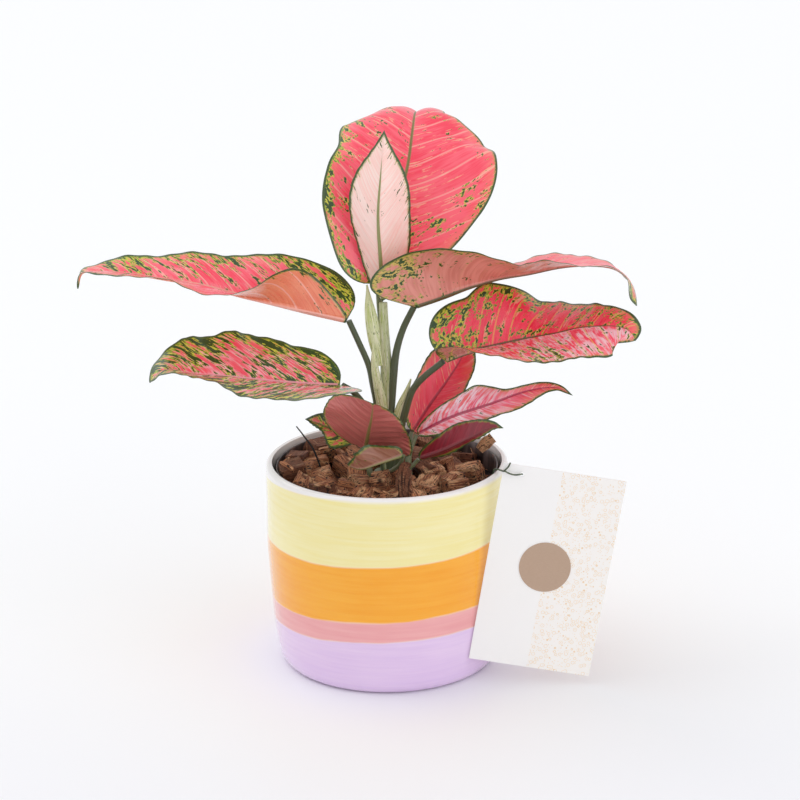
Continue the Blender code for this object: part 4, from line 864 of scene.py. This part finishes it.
def along(values, u):
    """Values given at even steps from 0 to 1, read on a smooth curve at u."""
    values = np.atleast_1d(np.array(values, float))
    if len(values) == 1:
        return np.full(np.shape(u), values[0])
    knots = np.concatenate([values[:1], values, values[-1:]])
    place = np.asarray(u) * (len(values) - 1)
    first = np.clip(place.astype(int), 0, len(values) - 2)
    part = place - first
    a, b, c, d = (knots[first + i] for i in range(4))
    squared = (a - 2.5 * b + 2 * c - d / 2) * part ** 2
    cubed = (1.5 * (b - c) + (d - a) / 2) * part ** 3
    return b + (c - a) / 2 * part + squared + cubed


def tube_points(points, across, sides, steps, deep=None, facing=(0, 1, 0)):
    """Rings (steps + 1, sides, 3) of a tube in millimetres, round or with another radius in depth."""
    deep = across if deep is None else deep
    facing = np.array(facing, float)
    path = smooth_curve(points, steps)
    tangent = unit(np.gradient(path, axis=0))
    back = unit(facing - tangent * (tangent @ facing)[:, None])
    side = np.cross(back, tangent)
    u = np.linspace(0, 1, steps + 1)
    turn = turns(sides)
    return (path[:, None] + side[:, None] * (along(across, u)[:, None, None] * np.cos(turn)[None, :, None])
            + back[:, None] * (along(deep, u)[:, None, None] * np.sin(turn)[None, :, None]))


class Batch:
    """Gathers shells, with their attributes, into one mesh."""

    def __init__(self):
        self.points = []
        self.faces = []
        self.values = {}
        self.count = 0

    def add(self, points, faces, **values):
        """A shell in metres; a single value goes to all its points."""
        points = np.asarray(points, float).reshape(-1, 3)
        self.faces += [[int(i) + self.count for i in face] for face in faces]
        self.points.append(points)
        self.count += len(points)
        for name, value in values.items():
            value = np.asarray(value, float)
            if value.ndim == 0:
                value = np.full(len(points), float(value))
            self.values.setdefault(name, []).append(value)

    def add_tube(self, rings, **values):
        """Rings in millimetres, closed by a cap at each end; grain gets millimetres round and along them."""
        steps, sides, _ = rings.shape
        faces = grid_faces(steps, sides, closed=True)[:, ::-1].tolist()
        faces.append(list(range(sides)))
        faces.append(list(reversed(range((steps - 1) * sides, steps * sides))))
        middle = rings.mean(1)
        radius = np.linalg.norm(rings[:, 0] - middle, axis=1).mean()
        grain = np.zeros((steps, sides, 3))
        grain[..., 0] = radius * 3 * np.cos(turns(sides))
        grain[..., 1] = travelled(middle)[:, None]
        grain[..., 2] = radius * 3 * np.sin(turns(sides)) + 10 * len(self.points)
        self.add(rings * MM, faces, grain=grain.reshape(-1, 3), **values)

    def build(self, name, look):
        obj = mesh_object(name, np.concatenate(self.points), self.faces, [look])
        for key, parts in self.values.items():
            write_attribute(obj, key, np.concatenate(parts))
        return obj


# -------------------- leaves

def half_width(u, widest, blunt):
    """0 to 1: a round base, the widest place, then a taper to the tip."""
    rising = np.clip(u / widest, 0, 1)
    falling = np.clip((u - widest) / (1 - widest), 0, 1)
    base = np.sqrt(np.clip(1 - (1 - rising) ** 2, 0, 1))
    tip = np.cos(math.pi / 2 * falling ** TIP_POWER) ** blunt
    return np.where(u < widest, base, tip)


def border_distance(flat, rows):
    """Millimetres from each grid point to the nearest point of the blade's border, on the flattened blade."""
    border = np.concatenate([flat[:, 0], flat[:, -1]])
    points = flat.reshape(-1, 1, 2)
    nearest = np.full(len(points), np.inf)
    for start in range(0, len(border), rows):
        away = np.linalg.norm(points - border[None, start:start + rows], axis=-1).min(1)
        nearest = np.minimum(nearest, away)
    return nearest.reshape(flat.shape[:2])


def blade_spine(leaf, rows):
    """The midrib: even steps along it, its points, length, ways on and up, and the blade's half width."""
    u = np.linspace(0, 1, rows + 1)
    rib = smooth_curve(leaf["rib"], rows)
    length = np.linalg.norm(np.diff(rib, axis=0), axis=1).sum()
    tangent = unit(np.gradient(rib, axis=0))
    up = np.stack([along([way[axis] for way in leaf["up"]], u) for axis in range(3)], -1)
    normal = unit(up - tangent * (up * tangent).sum(1, keepdims=True))
    return u, rib, length, tangent, normal, leaf["half"] * half_width(u, leaf["widest"], leaf["blunt"])


def blade_half(spine, side, sign, style, columns):
    """One half of the blade, column by column from the rib: points with veins in millimetres, normals,
    places on the flattened blade, count of side veins and distance from the rib."""
    u, rib, length, tangent, normal, width = spine
    across = sign * np.cross(tangent, normal)
    fold = np.radians(along(side["fold"], u))
    curl = np.radians(along(side.get("curl", 0), u))
    reach = width * along(side["wide"], u)
    count, phase, height = side["wave"]
    base, beyond = side["sweep"]
    sweep = base + (beyond - base) * (1 - np.exp(-u / LOBE_LENGTH))
    waving = np.sin(math.pi * u) ** 0.5
    for v in columns:
        parts = (np.arange(CURL_STEPS) + 0.5) / CURL_STEPS * v
        angles = fold[:, None] + curl[:, None] * parts[None]
        out = np.cos(angles).mean(1) * v
        lift = np.sin(angles).mean(1) * v
        swept = reach * sweep * v ** SWEEP_POWER
        place = rib + reach[:, None] * (across * out[:, None] + normal * lift[:, None])
        place += tangent * swept[:, None]
        angle = fold + curl * v
        facing = -across * np.sin(angle)[:, None] + normal * np.cos(angle)[:, None]
        wave = height * np.sin(math.tau * (count * u + phase)) * v ** 2 * waving
        ripple = EDGE_RIPPLE * np.sin(math.tau * (EDGE_RIPPLE_COUNT * u + phase)) * v ** 6 * waving
        vein = style["veins"] * (u - style["forward"] * reach * v ** VEIN_BEND / length) + 0.5 * (sign > 0)
        between = np.abs(np.sin(math.pi * vein)) ** QUILT_ROUNDING
        fading = math.sin(math.pi * min(1.0, v * QUILT_REACH)) ** 0.6
        quilt = style["quilt"] * (between - 0.5) * fading
        groove = RIB_GROOVE * np.exp(-(reach * v / RIB_GROOVE_WIDTH) ** 2)
        raised = wave + ripple + (quilt - groove) * waving
        flat = np.stack([u * length + swept, sign * reach * v], -1)
        yield place + facing * raised[:, None], facing, flat, vein, reach * v


def blade_grid(spine, leaf, style, columns):
    """Both halves as arrays; the blade's ends are drawn together on its rib."""
    left = list(blade_half(spine, leaf["left"], -1, style, columns))
    right = list(blade_half(spine, leaf["right"], 1, style, columns))
    grid, normals, flat, veins, beside = (np.stack(parts, 1) for parts in zip(*left[:0:-1], *right))
    _, rib, _, _, normal, _ = spine
    middle = len(columns) - 1
    normals[:, middle] = normal
    for end in (0, -1):
        grid[end] = rib[end]
        normals[end] = normal[end]
        flat[end] = flat[end, middle]
    return grid, normals, flat, veins, beside


def blade_maps(style, number, flat, veins, beside, length):
    """What a leaf's material reads at each point."""
    u = np.linspace(0, 1, len(flat))[:, None]
    margin = border_distance(flat, len(flat) - 1)
    right = (flat[..., 1] > 0).astype(int)
    mottle, edge, base, sheen = (np.choose(right, style[key]) for key in ("mottle", "edge", "base", "sheen"))
    marking = (mottle + edge * np.exp(-margin / style["reach"])
               + base * np.exp(-np.maximum(flat[..., 0], 0) / (BASE_REACH * length))
               + sum(strength * np.exp(-((flat - (x, y)) ** 2).sum(-1) / radius ** 2)
                     for x, y, radius, strength in style["spots"]))
    half = np.sign(flat[..., 1]) * HALF_SHIFT + GRAIN_SHIFT * number
    return {
        "flat": np.dstack([flat, np.full(margin.shape, FLAT_SHIFT * number)]),
        "grain": np.dstack([veins * (length / style["veins"]), beside, half]),
        "rib": beside + RIB_FADE * u ** 2,
        "margin": margin,
        "vein": veins,
        # share of painted sheen, with the leaf's own pale streaks, fading out after sheen_end
        "sheen": sheen * np.clip((style["sheen_end"] - u) / SHEEN_FADE, 0, 1),
        "marking": marking,
    }


def shell_faces(rows, wide):
    """Faces of an upper and a lower sheet of points and of the edges between them, and which is the lower."""
    under = rows * wide
    sheet = grid_faces(rows, wide)
    left = np.arange(rows - 1) * wide
    right = left + wide - 1
    edges = np.concatenate([
        np.stack([left + under, left + wide + under, left + wide, left], -1),
        np.stack([right + wide + under, right + under, right, right + wide], -1)])
    lower = np.repeat([0, 1, 0], [len(sheet), len(sheet), len(edges)])
    return np.concatenate([sheet[:, ::-1], sheet + under, edges]), lower


def build_leaf(number, name, leaf, style):
    """A closed fine blade: upper and lower faces with their own looks, thin at the margin, midrib below."""
    rows, half = LARGE_GRID if leaf["half"] > LARGE_FROM else SMALL_GRID
    columns = np.linspace(0, 1, half + 1) ** COLUMN_POWER
    spine = blade_spine(leaf, rows)
    grid, normals, flat, veins, beside = blade_grid(spine, leaf, style, columns)
    v = np.abs(np.concatenate([-columns[:0:-1], columns]))
    u = spine[0][:, None]
    thickness = BLADE_THICKNESS[0] + (BLADE_THICKNESS[1] - BLADE_THICKNESS[0]) * v
    rib_width = RIB_WIDTH * (1 - RIB_NARROWING * u)
    ridge = leaf["ridge"] * (1 - RIB_THINNING * u) * np.sqrt(np.clip(1 - (beside / rib_width) ** 2, 0, 1))
    upper = grid + normals * (thickness / 2)[None, :, None]
    lower = grid - normals * (thickness / 2 + ridge)[..., None]
    points = np.concatenate([upper.reshape(-1, 3), lower.reshape(-1, 3)]) * MM
    faces, face_looks = shell_faces(*beside.shape)
    looks = [leaf_look(name, style, "upper"), leaf_look(name, style, "under")]
    obj = mesh_object("fine_" + name, points, faces, looks, face_looks)
    for key, values in blade_maps(style, number, flat, veins, beside, spine[2]).items():
        values = values.reshape(beside.size, -1).squeeze()
        write_attribute(obj, key, np.concatenate([values, values]))
    weld(obj, LEAF_WELD)
    place_piece(obj, LEAF_SLOTS.get(name, "leaf"), name)


# -------------------- stalks

def build_shoot(name, foot, stalks, look):
    """A round foot in the soil and its stalks."""
    x, y, radius = (value / MM for value in foot)
    foot_points = ((x, y, STEM_TOP_HEIGHT / MM), (x, y, STEM_FOOT_HEIGHT / MM))
    batch = Batch()
    batch.add_tube(tube_points(foot_points, (radius * STEM_TAPER, radius), STALK_SIDES, STEM_STEPS),
                   tone=STEM_TONE)
    for stalk in stalks:
        rings = tube_points(stalk["points"], stalk["across"], STALK_SIDES, STALK_STEPS, stalk.get("deep"))
        batch.add_tube(rings, tone=np.repeat(np.linspace(*stalk["tone"], len(rings)), STALK_SIDES))
    shoot = batch.build("fine_" + name, look)
    shoot.data.set_sharp_from_angle(angle=SHARP)
    place_piece(shoot, "stalk", name)


# -------------------- pot, liner and soil

def refined(profile):
    """A profile with points added on a smooth curve between those given."""
    points = [(radius, 0.0, height) for radius, height in profile]
    return [(point[0], point[2]) for point in smooth_curve(points, POT_REFINE * (len(points) - 1))]


def turned(name, profile, sides, look):
    """Turns a (radius, height) profile about Z; points on the axis close it."""
    turn = turns(sides)
    radius, height = np.array(profile).T[..., None] * np.ones(sides)
    points = np.stack([radius * np.cos(turn), radius * np.sin(turn), height], -1).reshape(-1, 3)
    obj = mesh_object(name, points, grid_faces(len(profile), sides, closed=True)[:, ::-1], [look])
    weld(obj)
    return obj


def build_pot():
    """The pot; its inside and its rim are marked as unpainted."""
    outer = refined(POT_OUTER)[::-1]
    inner = refined(POT_INNER)[::-1]
    profile = [(0.0, outer[0][1]), *outer, *inner, (0.0, POT_FLOOR)]
    pot = turned("glazed_pot", profile, POT_SIDES, glaze_look())
    places = np.array([vertex.co for vertex in pot.data.vertices])
    radius = np.hypot(places[:, 0], places[:, 1])
    wall = np.interp(places[:, 2], [point[1] for point in outer], [point[0] for point in outer])
    inside = (radius < wall - UNPAINTED_DEPTH) & (places[:, 2] > UNPAINTED_FLOOR)
    write_attribute(pot, "unpainted", inside | (places[:, 2] > UNPAINTED_FROM))
    place_piece(pot, "glaze", "pot")


def liner_radius(height):
    """Outer radius of the nursery pot at a height."""
    part = (height - LINER_FOOT) / (LINER_TOP - LINER_FOOT)
    return LINER_FOOT_RADIUS + (LINER_TOP_RADIUS - LINER_FOOT_RADIUS) * part


def build_liner():
    floor = LINER_FOOT + LINER_WALL
    lip = LINER_WALL / 3
    heights = np.linspace(LINER_FOOT + 4 * lip, LINER_TOP - lip, LINER_ROWS)
    profile = [(0.0, LINER_FOOT), (LINER_FOOT_RADIUS - lip, LINER_FOOT)]
    profile += [(LINER_FOOT_RADIUS, LINER_FOOT + lip)]
    profile += [(liner_radius(height), height) for height in heights]
    profile += [(LINER_TOP_RADIUS - lip, LINER_TOP), (LINER_TOP_RADIUS - 2 * lip, LINER_TOP)]
    profile += [(liner_radius(height) - LINER_WALL, height) for height in heights[::-1]]
    profile += [(liner_radius(floor) - LINER_WALL, floor), (0.0, floor)]
    place_piece(turned("fine_liner", profile, LINER_SIDES, liner_look()), "liner_plastic", "grow_pot")


def dress_soil(frame):
    for slot in frame["nodes"]["soil"].material_slots:
        slot.material = soil_look()


# -------------------- husk mulch

def near_stem(x, y, gap):
    return any(math.hypot(x - at_x, y - at_y) < radius + gap for at_x, at_y, radius in STEM_FEET)


def mulch_height(x, y):
    """Height of the chips' centres, lower towards one side."""
    away = math.hypot(x - MULCH_LOW_SIDE[0], y - MULCH_LOW_SIDE[1])
    return CHIP_CENTRES - MULCH_LOW_DEPTH * math.exp(-(away / MULCH_LOW_REACH) ** 2)


def keep_in_liner(points):
    """Points pulled in to stay inside the nursery pot's wall."""
    radius = np.hypot(points[:, 0], points[:, 1])
    most = liner_radius(np.minimum(points[:, 2], LINER_TOP)) - LINER_CLEARANCE
    points[:, :2] *= np.minimum(1.0, most / np.maximum(radius, 1e-6))[:, None]
    return points


def lattice(cuts):
    """Points of a cube's surface in -1..1 and its quads."""
    index = {}
    quads = []
    for axis in range(3):
        for level in (0, cuts):
            for i in range(cuts):
                for j in range(cuts):
                    corners = []
                    for a, b in ((i, j), (i + 1, j), (i + 1, j + 1), (i, j + 1)):
                        spot = [a, b]
                        spot.insert(axis, level)
                        corners.append(index.setdefault(tuple(spot), len(index)))
                    turned_in = (level == 0) != (axis == 1)
                    quads.append(corners[::-1] if turned_in else corners)
    return np.array(list(index), float) * 2 / cuts - 1, quads


def box_corners(at, turn, size, uneven):
    """Eight corners of a turned box, each pushed about by random factors."""
    place = Matrix.Translation(at) @ turn.to_matrix().to_4x4()
    return [place @ Vector([way * side * random.uniform(*uneven) for way, side in zip(ways, size)])
            for ways in BOX_CORNERS]


def add_chunk(batch, corners, shape, ruggedness, tint, seed):
    """One husk chunk between eight corners in metres, rounded and torn along its fibres."""
    spots, quads = shape
    spots = spots / (np.abs(spots) ** CHIP_ROUNDING).sum(1, keepdims=True) ** (1 / CHIP_ROUNDING)
    weights = (1 + spots.T) / 2
    points = np.zeros((len(spots), 3))
    for ways, corner in zip(BOX_CORNERS, corners):
        x, y, z = [weight if way > 0 else 1 - weight for way, weight in zip(ways, weights)]
        points += (x * y * z)[:, None] * np.array(corner)
    size = [np.linalg.norm(np.subtract(corners[i], corners[0])) for i in (1, 3, 4)]
    grain = spots * np.array(size) / (2 * MM)
    fibre_along, fibre_across, fibre_height = CHIP_FIBRES
    lump_along, lump_across, lump_height = CHIP_LUMPS
    fray_across, fray_height = CHIP_FRAYING
    depth = np.empty(len(points))
    for i, (x, y, z) in enumerate(grain):
        fibre = noise.noise(Vector((x * fibre_along + seed, y * fibre_across, z * fibre_across)))
        lump = noise.noise(Vector((x * lump_along, y * lump_across + seed, z * lump_across)))
        frayed = noise.noise(Vector((seed, y * fray_across, z * fray_across))) * abs(spots[i][0]) ** 4
        depth[i] = fibre_height * fibre + lump_height * lump + fray_height * frayed
    points += unit(points - np.mean(corners, axis=0)) * (depth * ruggedness)[:, None]
    # depth also darkens the chunk's low points in its look, as painted shade.
    batch.add(keep_in_liner(points), quads, grain=grain + np.array([0, 0, seed]), depth=depth, tint=tint)


def add_bed(batch):
    """A rough bed under the chips."""
    radii = np.linspace(BED_CENTRE, liner_radius(BED_TOP) - LINER_CLEARANCE, BED_RINGS)
    points = np.array([(radius * math.cos(way), radius * math.sin(way), BED_TOP)
                       for radius in radii for way in turns(BED_SIDES)])
    bumps = np.array([noise.noise(Vector(point) * BED_BUMPS_PER_METRE) for point in points])
    points[:, 2] += bumps * BED_BUMP * MM
    faces = grid_faces(BED_RINGS, BED_SIDES, closed=True).tolist()
    faces.append(list(reversed(range(BED_SIDES))))
    # The bed counts as lying deep, so its look darkens it as painted shade between the chips.
    batch.add(points, faces, grain=points / MM, depth=bumps + BED_SHADE_DEPTH, tint=BED_TINT)


def add_chips(batch):
    """The CAD's chips, from the same seed, and the extra ones."""
    random.seed(MULCH_SEED)
    golden = math.pi * (3 - math.sqrt(5))
    shape = lattice(CHIP_CUTS)
    for i in range(CHIP_COUNT):
        radius = CHIP_SPREAD * math.sqrt((i + 0.6) / CHIP_COUNT)
        x = radius * math.cos(i * golden) + random.uniform(-CHIP_JITTER, CHIP_JITTER)
        y = radius * math.sin(i * golden) + random.uniform(-CHIP_JITTER, CHIP_JITTER)
        size = [random.uniform(*span) * CHIP_SHRINK for span in (CHIP_LENGTH, CHIP_WIDTH, CHIP_HEIGHT)]
        turn = Euler([random.uniform(*span) for span in (CHIP_TILTS, CHIP_TILTS, (0, math.tau))])
        if near_stem(x, y, CHIP_CLEARANCE) or i % CHIP_SKIP == CHIP_SKIPPED:
            continue
        corners = box_corners((x, y, mulch_height(x, y)), turn, size, CHIP_UNEVEN)
        add_chunk(batch, corners, shape, CHIP_RUGGEDNESS, (i * CHIP_TINT_STEP) % 1.0, CHIP_SEED_STEP * i)
    for i, (place, size, turn) in enumerate(EXTRA_CHIPS):
        corners = box_corners(Vector(place) * MM, Euler(turn), [side * MM for side in size], CHIP_UNEVEN)
        seed = EXTRA_SEED + EXTRA_SEED_STEP * i
        add_chunk(batch, corners, shape, CHIP_RUGGEDNESS, EXTRA_TINT_STEP * i, seed)


def drop_height(tree, x, y):
    """Height of the mulch under a spot, or None beyond it."""
    hit = tree.ray_cast(Vector((x, y, DROP_FROM)), Vector((0, 0, -1)))
    return hit[0].z if hit[0] else None


def litter_spot(tree):
    """A random spot on the mulch that is clear of the stems."""
    while True:
        radius = LITTER_SPREAD * math.sqrt(random.random())
        way = random.uniform(0, math.tau)
        x, y = radius * math.cos(way), radius * math.sin(way)
        height = drop_height(tree, x, y)
        if height and not near_stem(x, y, LITTER_CLEARANCE):
            return x, y, height


def add_shards(batch, tree):
    """Small flat pieces of husk that lie on the chips."""
    random.seed(SHARD_SEED)
    shape = lattice(SHARD_CUTS)
    for i in range(SHARD_COUNT):
        x, y, height = litter_spot(tree)
        size = [random.uniform(*span) for span in (SHARD_LENGTH, SHARD_WIDTH, SHARD_DEPTH)]
        turn = Euler([random.uniform(*span) for span in (*SHARD_TILTS, (0, math.tau))])
        corners = box_corners((x, y, height + size[2] * SHARD_RAISED), turn, size, SHARD_UNEVEN)
        seed = SHARD_GRAIN_SEED + SHARD_SEED_STEP * i
        add_chunk(batch, corners, shape, SHARD_RUGGEDNESS, random.random(), seed)


def add_fibres(batch, tree):
    """Loose bent fibres that follow the top of the mulch."""
    for _ in range(FIBRE_COUNT):
        x, y, height = litter_spot(tree)
        way = random.uniform(0, math.tau)
        length = random.uniform(*FIBRE_LENGTH)
        bend = random.uniform(-FIBRE_BEND, FIBRE_BEND)
        points = []
        for part in FIBRE_PARTS:
            px = x / MM + length * part * math.cos(way) - length * bend * part ** 2 * math.sin(way)
            py = y / MM + length * part * math.sin(way) + length * bend * part ** 2 * math.cos(way)
            low = max(drop_height(tree, px * MM, py * MM) or height, height - FIBRE_DROP)
            points.append((px, py, low / MM + FIBRE_LIFT + random.uniform(0, FIBRE_LOOSE)))
        radius = random.uniform(*FIBRE_RADIUS)
        rings = tube_points(points, (radius, radius * 0.5), FIBRE_SIDES, FIBRE_STEPS, facing=(0, 0, 1))
        rings = keep_in_liner(rings.reshape(-1, 3) * MM).reshape(rings.shape) / MM
        batch.add_tube(rings, depth=FIBRE_DEPTH, tint=random.random() * FIBRE_TINT)


def add_strips(batch):
    """Dark bark strips and thin roots that stand out of the mulch."""
    for number, (spine, width, thickness, darkness) in enumerate(BARK_STRIPS):
        widths = [width * share for share in BARK_WIDTHS]
        rings = tube_points(spine, widths, BARK_SIDES, BARK_STEPS, deep=thickness / 2)
        spots = [[(3 * math.cos(way) + 9 * number, 6 * math.sin(way), row * 0.05)
                  for way in turns(BARK_SIDES)] for row in range(len(rings))]
        offsets = np.array([[noise.noise(Vector(spot)) for spot in row] for row in spots])
        outward = unit(rings - rings.mean(1, keepdims=True))
        rings = rings + outward * (offsets * BARK_RUGGEDNESS)[..., None]
        # depth darkens the sunken parts of the bark in its look, as painted shade.
        batch.add_tube(rings, depth=offsets.reshape(-1), tint=darkness)
    for points, radius in ROOTS:
        rings = tube_points(points, [radius * share for share in ROOT_RADII], ROOT_SIDES, ROOT_STEPS)
        batch.add_tube(rings, depth=ROOT_DEPTH, tint=1.0)


def build_mulch():
    batch = Batch()
    add_bed(batch)
    add_chips(batch)
    tree = BVHTree.FromPolygons([Vector(point) for point in np.concatenate(batch.points)], batch.faces)
    add_shards(batch, tree)
    add_fibres(batch, tree)
    add_strips(batch)
    mulch = batch.build("husk_chips", husk_look())
    mulch.data.set_sharp_from_angle(angle=MULCH_SHARP)
    place_piece(mulch, "husk", "husk_mulch")


# -------------------- card, sticker and tie

def disc_outline(centre, radius, sides):
    """Points round a centre, across and down the card."""
    return [(centre[0] + radius * math.cos(way), centre[1] + radius * math.sin(way)) for way in turns(sides)]


def card_edge():
    """The card's edge, one point for each way out of its hole, moved onto the corners where it is nearest."""
    edge = []
    for point in disc_outline(CARD_HOLE_AT, 1.0, CARD_SIDES):
        way = np.subtract(point, CARD_HOLE_AT)
        spans = [((size if part > 0 else 0.0) - start) / part if abs(part) > NO_LENGTH else math.inf
                 for part, start, size in zip(way, CARD_HOLE_AT, CARD_SIZE)]
        edge.append(tuple(way * min(spans) + CARD_HOLE_AT))
    for a in (0.0, CARD_SIZE[0]):
        for d in (0.0, CARD_SIZE[1]):
            nearest = min(range(CARD_SIDES), key=lambda i: math.hypot(edge[i][0] - a, edge[i][1] - d))
            edge[nearest] = (a, d)
    return edge


def build_sheet(name, outlines, back, front, look, hole=False, **values):
    """A sheet in the card's frame, from outlines that widen from its middle, which is a hole or closed."""
    across = Vector(CARD_ACROSS).normalized()
    down = Vector(CARD_DOWN)
    down = (down - across * down.dot(across)).normalized()
    out = across.cross(-down)
    layers = [(outline, back) for outline in outlines] + [(outline, front) for outline in outlines[::-1]]
    flat = [(a, d, 0.0) for outline, _ in layers for a, d in outline]
    points = [Vector(CARD_CORNER) + across * a + down * d + out * depth
              for outline, depth in layers for a, d in outline]
    sides = len(outlines[0])
    faces = grid_faces(len(layers), sides, closed=True).tolist()
    last = len(points) - sides
    if hole:
        faces += [[last + i, last + (i + 1) % sides, (i + 1) % sides, i] for i in range(sides)]
    else:
        faces += [list(reversed(range(sides))), list(range(last, len(points)))]
    sheet = mesh_object(name, points, faces, [look])
    for key, value in {"flat": np.array(flat) / MM, **values}.items():
        write_attribute(sheet, key, value)
    weld(sheet, FINE_WELD)
    return sheet


def build_card():
    """The card round its hole; its front is printed."""
    ends = list(zip(disc_outline(CARD_HOLE_AT, CARD_HOLE_RADIUS, CARD_SIDES), card_edge()))
    outlines = [[(h[0] + (e[0] - h[0]) * part, h[1] + (e[1] - h[1]) * part) for h, e in ends]
                for part in np.linspace(0, 1, CARD_RINGS)]
    printed = np.repeat([0.0, 1.0], CARD_RINGS * CARD_SIDES)
    card = build_sheet("plain_card", outlines, 0.0, CARD_THICKNESS, card_look(), hole=True, printed=printed)
    place_piece(card, "card", "tag_card")


def build_sticker():
    back = CARD_THICKNESS + STICKER_LIFT
    outlines = [disc_outline(STICKER_AT, STICKER_RADIUS * part, STICKER_SIDES) for part in STICKER_RINGS]
    sticker = build_sheet("plain_sticker", outlines, back, back + STICKER_THICKNESS, kraft_look())
    place_piece(sticker, "kraft_paper", "tag_sticker")


def build_tie():
    batch = Batch()
    for points in (TIE_MAIN, TIE_FORK):
        batch.add_tube(tube_points(points, TIE_RADIUS, TIE_SIDES, TIE_STEPS, facing=(0, 0, 1)))
    place_piece(batch.build("fine_tie", wire_look()), "tie_wire", "tag_tie")


# -------------------- stage

def add_camera():
    """The photo's camera, rolled a little about its view."""
    place, aim = Vector(CAMERA_AT), Vector(CAMERA_AIM)
    forward = (aim - place).normalized()
    right = forward.cross(Vector((0, 0, 1))).normalized()
    up = right.cross(forward)
    turned_right = right * math.cos(CAMERA_ROLL) + up * math.sin(CAMERA_ROLL)
    turned_up = up * math.cos(CAMERA_ROLL) - right * math.sin(CAMERA_ROLL)
    data = bpy.data.cameras.new("camera")
    data.lens = CAMERA_LENS
    data.sensor_width = CAMERA_SENSOR
    camera = link(bpy.data.objects.new("camera", data))
    turn = Matrix((turned_right, turned_up, -forward)).transposed()
    camera.matrix_world = Matrix.Translation(place) @ turn.to_4x4()
    bpy.context.scene.camera = camera


def add_sun(name, way, strength, width, colour):
    data = bpy.data.lights.new(name, "SUN")
    data.energy = strength
    data.angle = width
    data.color = srgb(colour)[:3]
    sun = link(bpy.data.objects.new(name, data))
    sun.rotation_euler = Vector(way).to_track_quat("-Z", "Y").to_euler()


def add_stage():
    corners = [(FLOOR_SIZE * x, FLOOR_SIZE * y, 0) for x, y in SQUARE]
    floor = mesh_object("floor", corners, [(0, 1, 2, 3)], [floor_look()], smooth=False)
    world = bpy.data.worlds.new("soft_white")
    world.use_nodes = True
    background = world.node_tree.nodes["Background"]
    background.inputs["Color"].default_value = srgb(WORLD_COLOUR)
    background.inputs["Strength"].default_value = WORLD_STRENGTH
    bpy.context.scene.world = world
    bpy.context.scene.view_settings.view_transform = "Standard"
    for name, sun in SUNS.items():
        add_sun(name, *sun)


def main():
    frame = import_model()
    bpy.context.scene.collection.children.link(bpy.data.collections.new(COLLECTION))
    add_camera()
    add_stage()
    build_pot()
    build_liner()
    dress_soil(frame)
    build_mulch()
    for number, (name, leaf) in enumerate(LEAVES.items(), 1):
        build_leaf(number, name, leaf, {**STYLE_DEFAULTS, **STYLES[name]})
    green = stalk_look()
    build_shoot("shoot_main", MAIN_FOOT, MAIN_STALKS, green)
    build_shoot("shoot_right", RIGHT_FOOT, RIGHT_STALKS, green)
    build_shoot("shoot_front", FRONT_FOOT, FRONT_STALKS, green)
    build_card()
    build_sticker()
    build_tie()
    bpy.context.view_layer.update()


main()
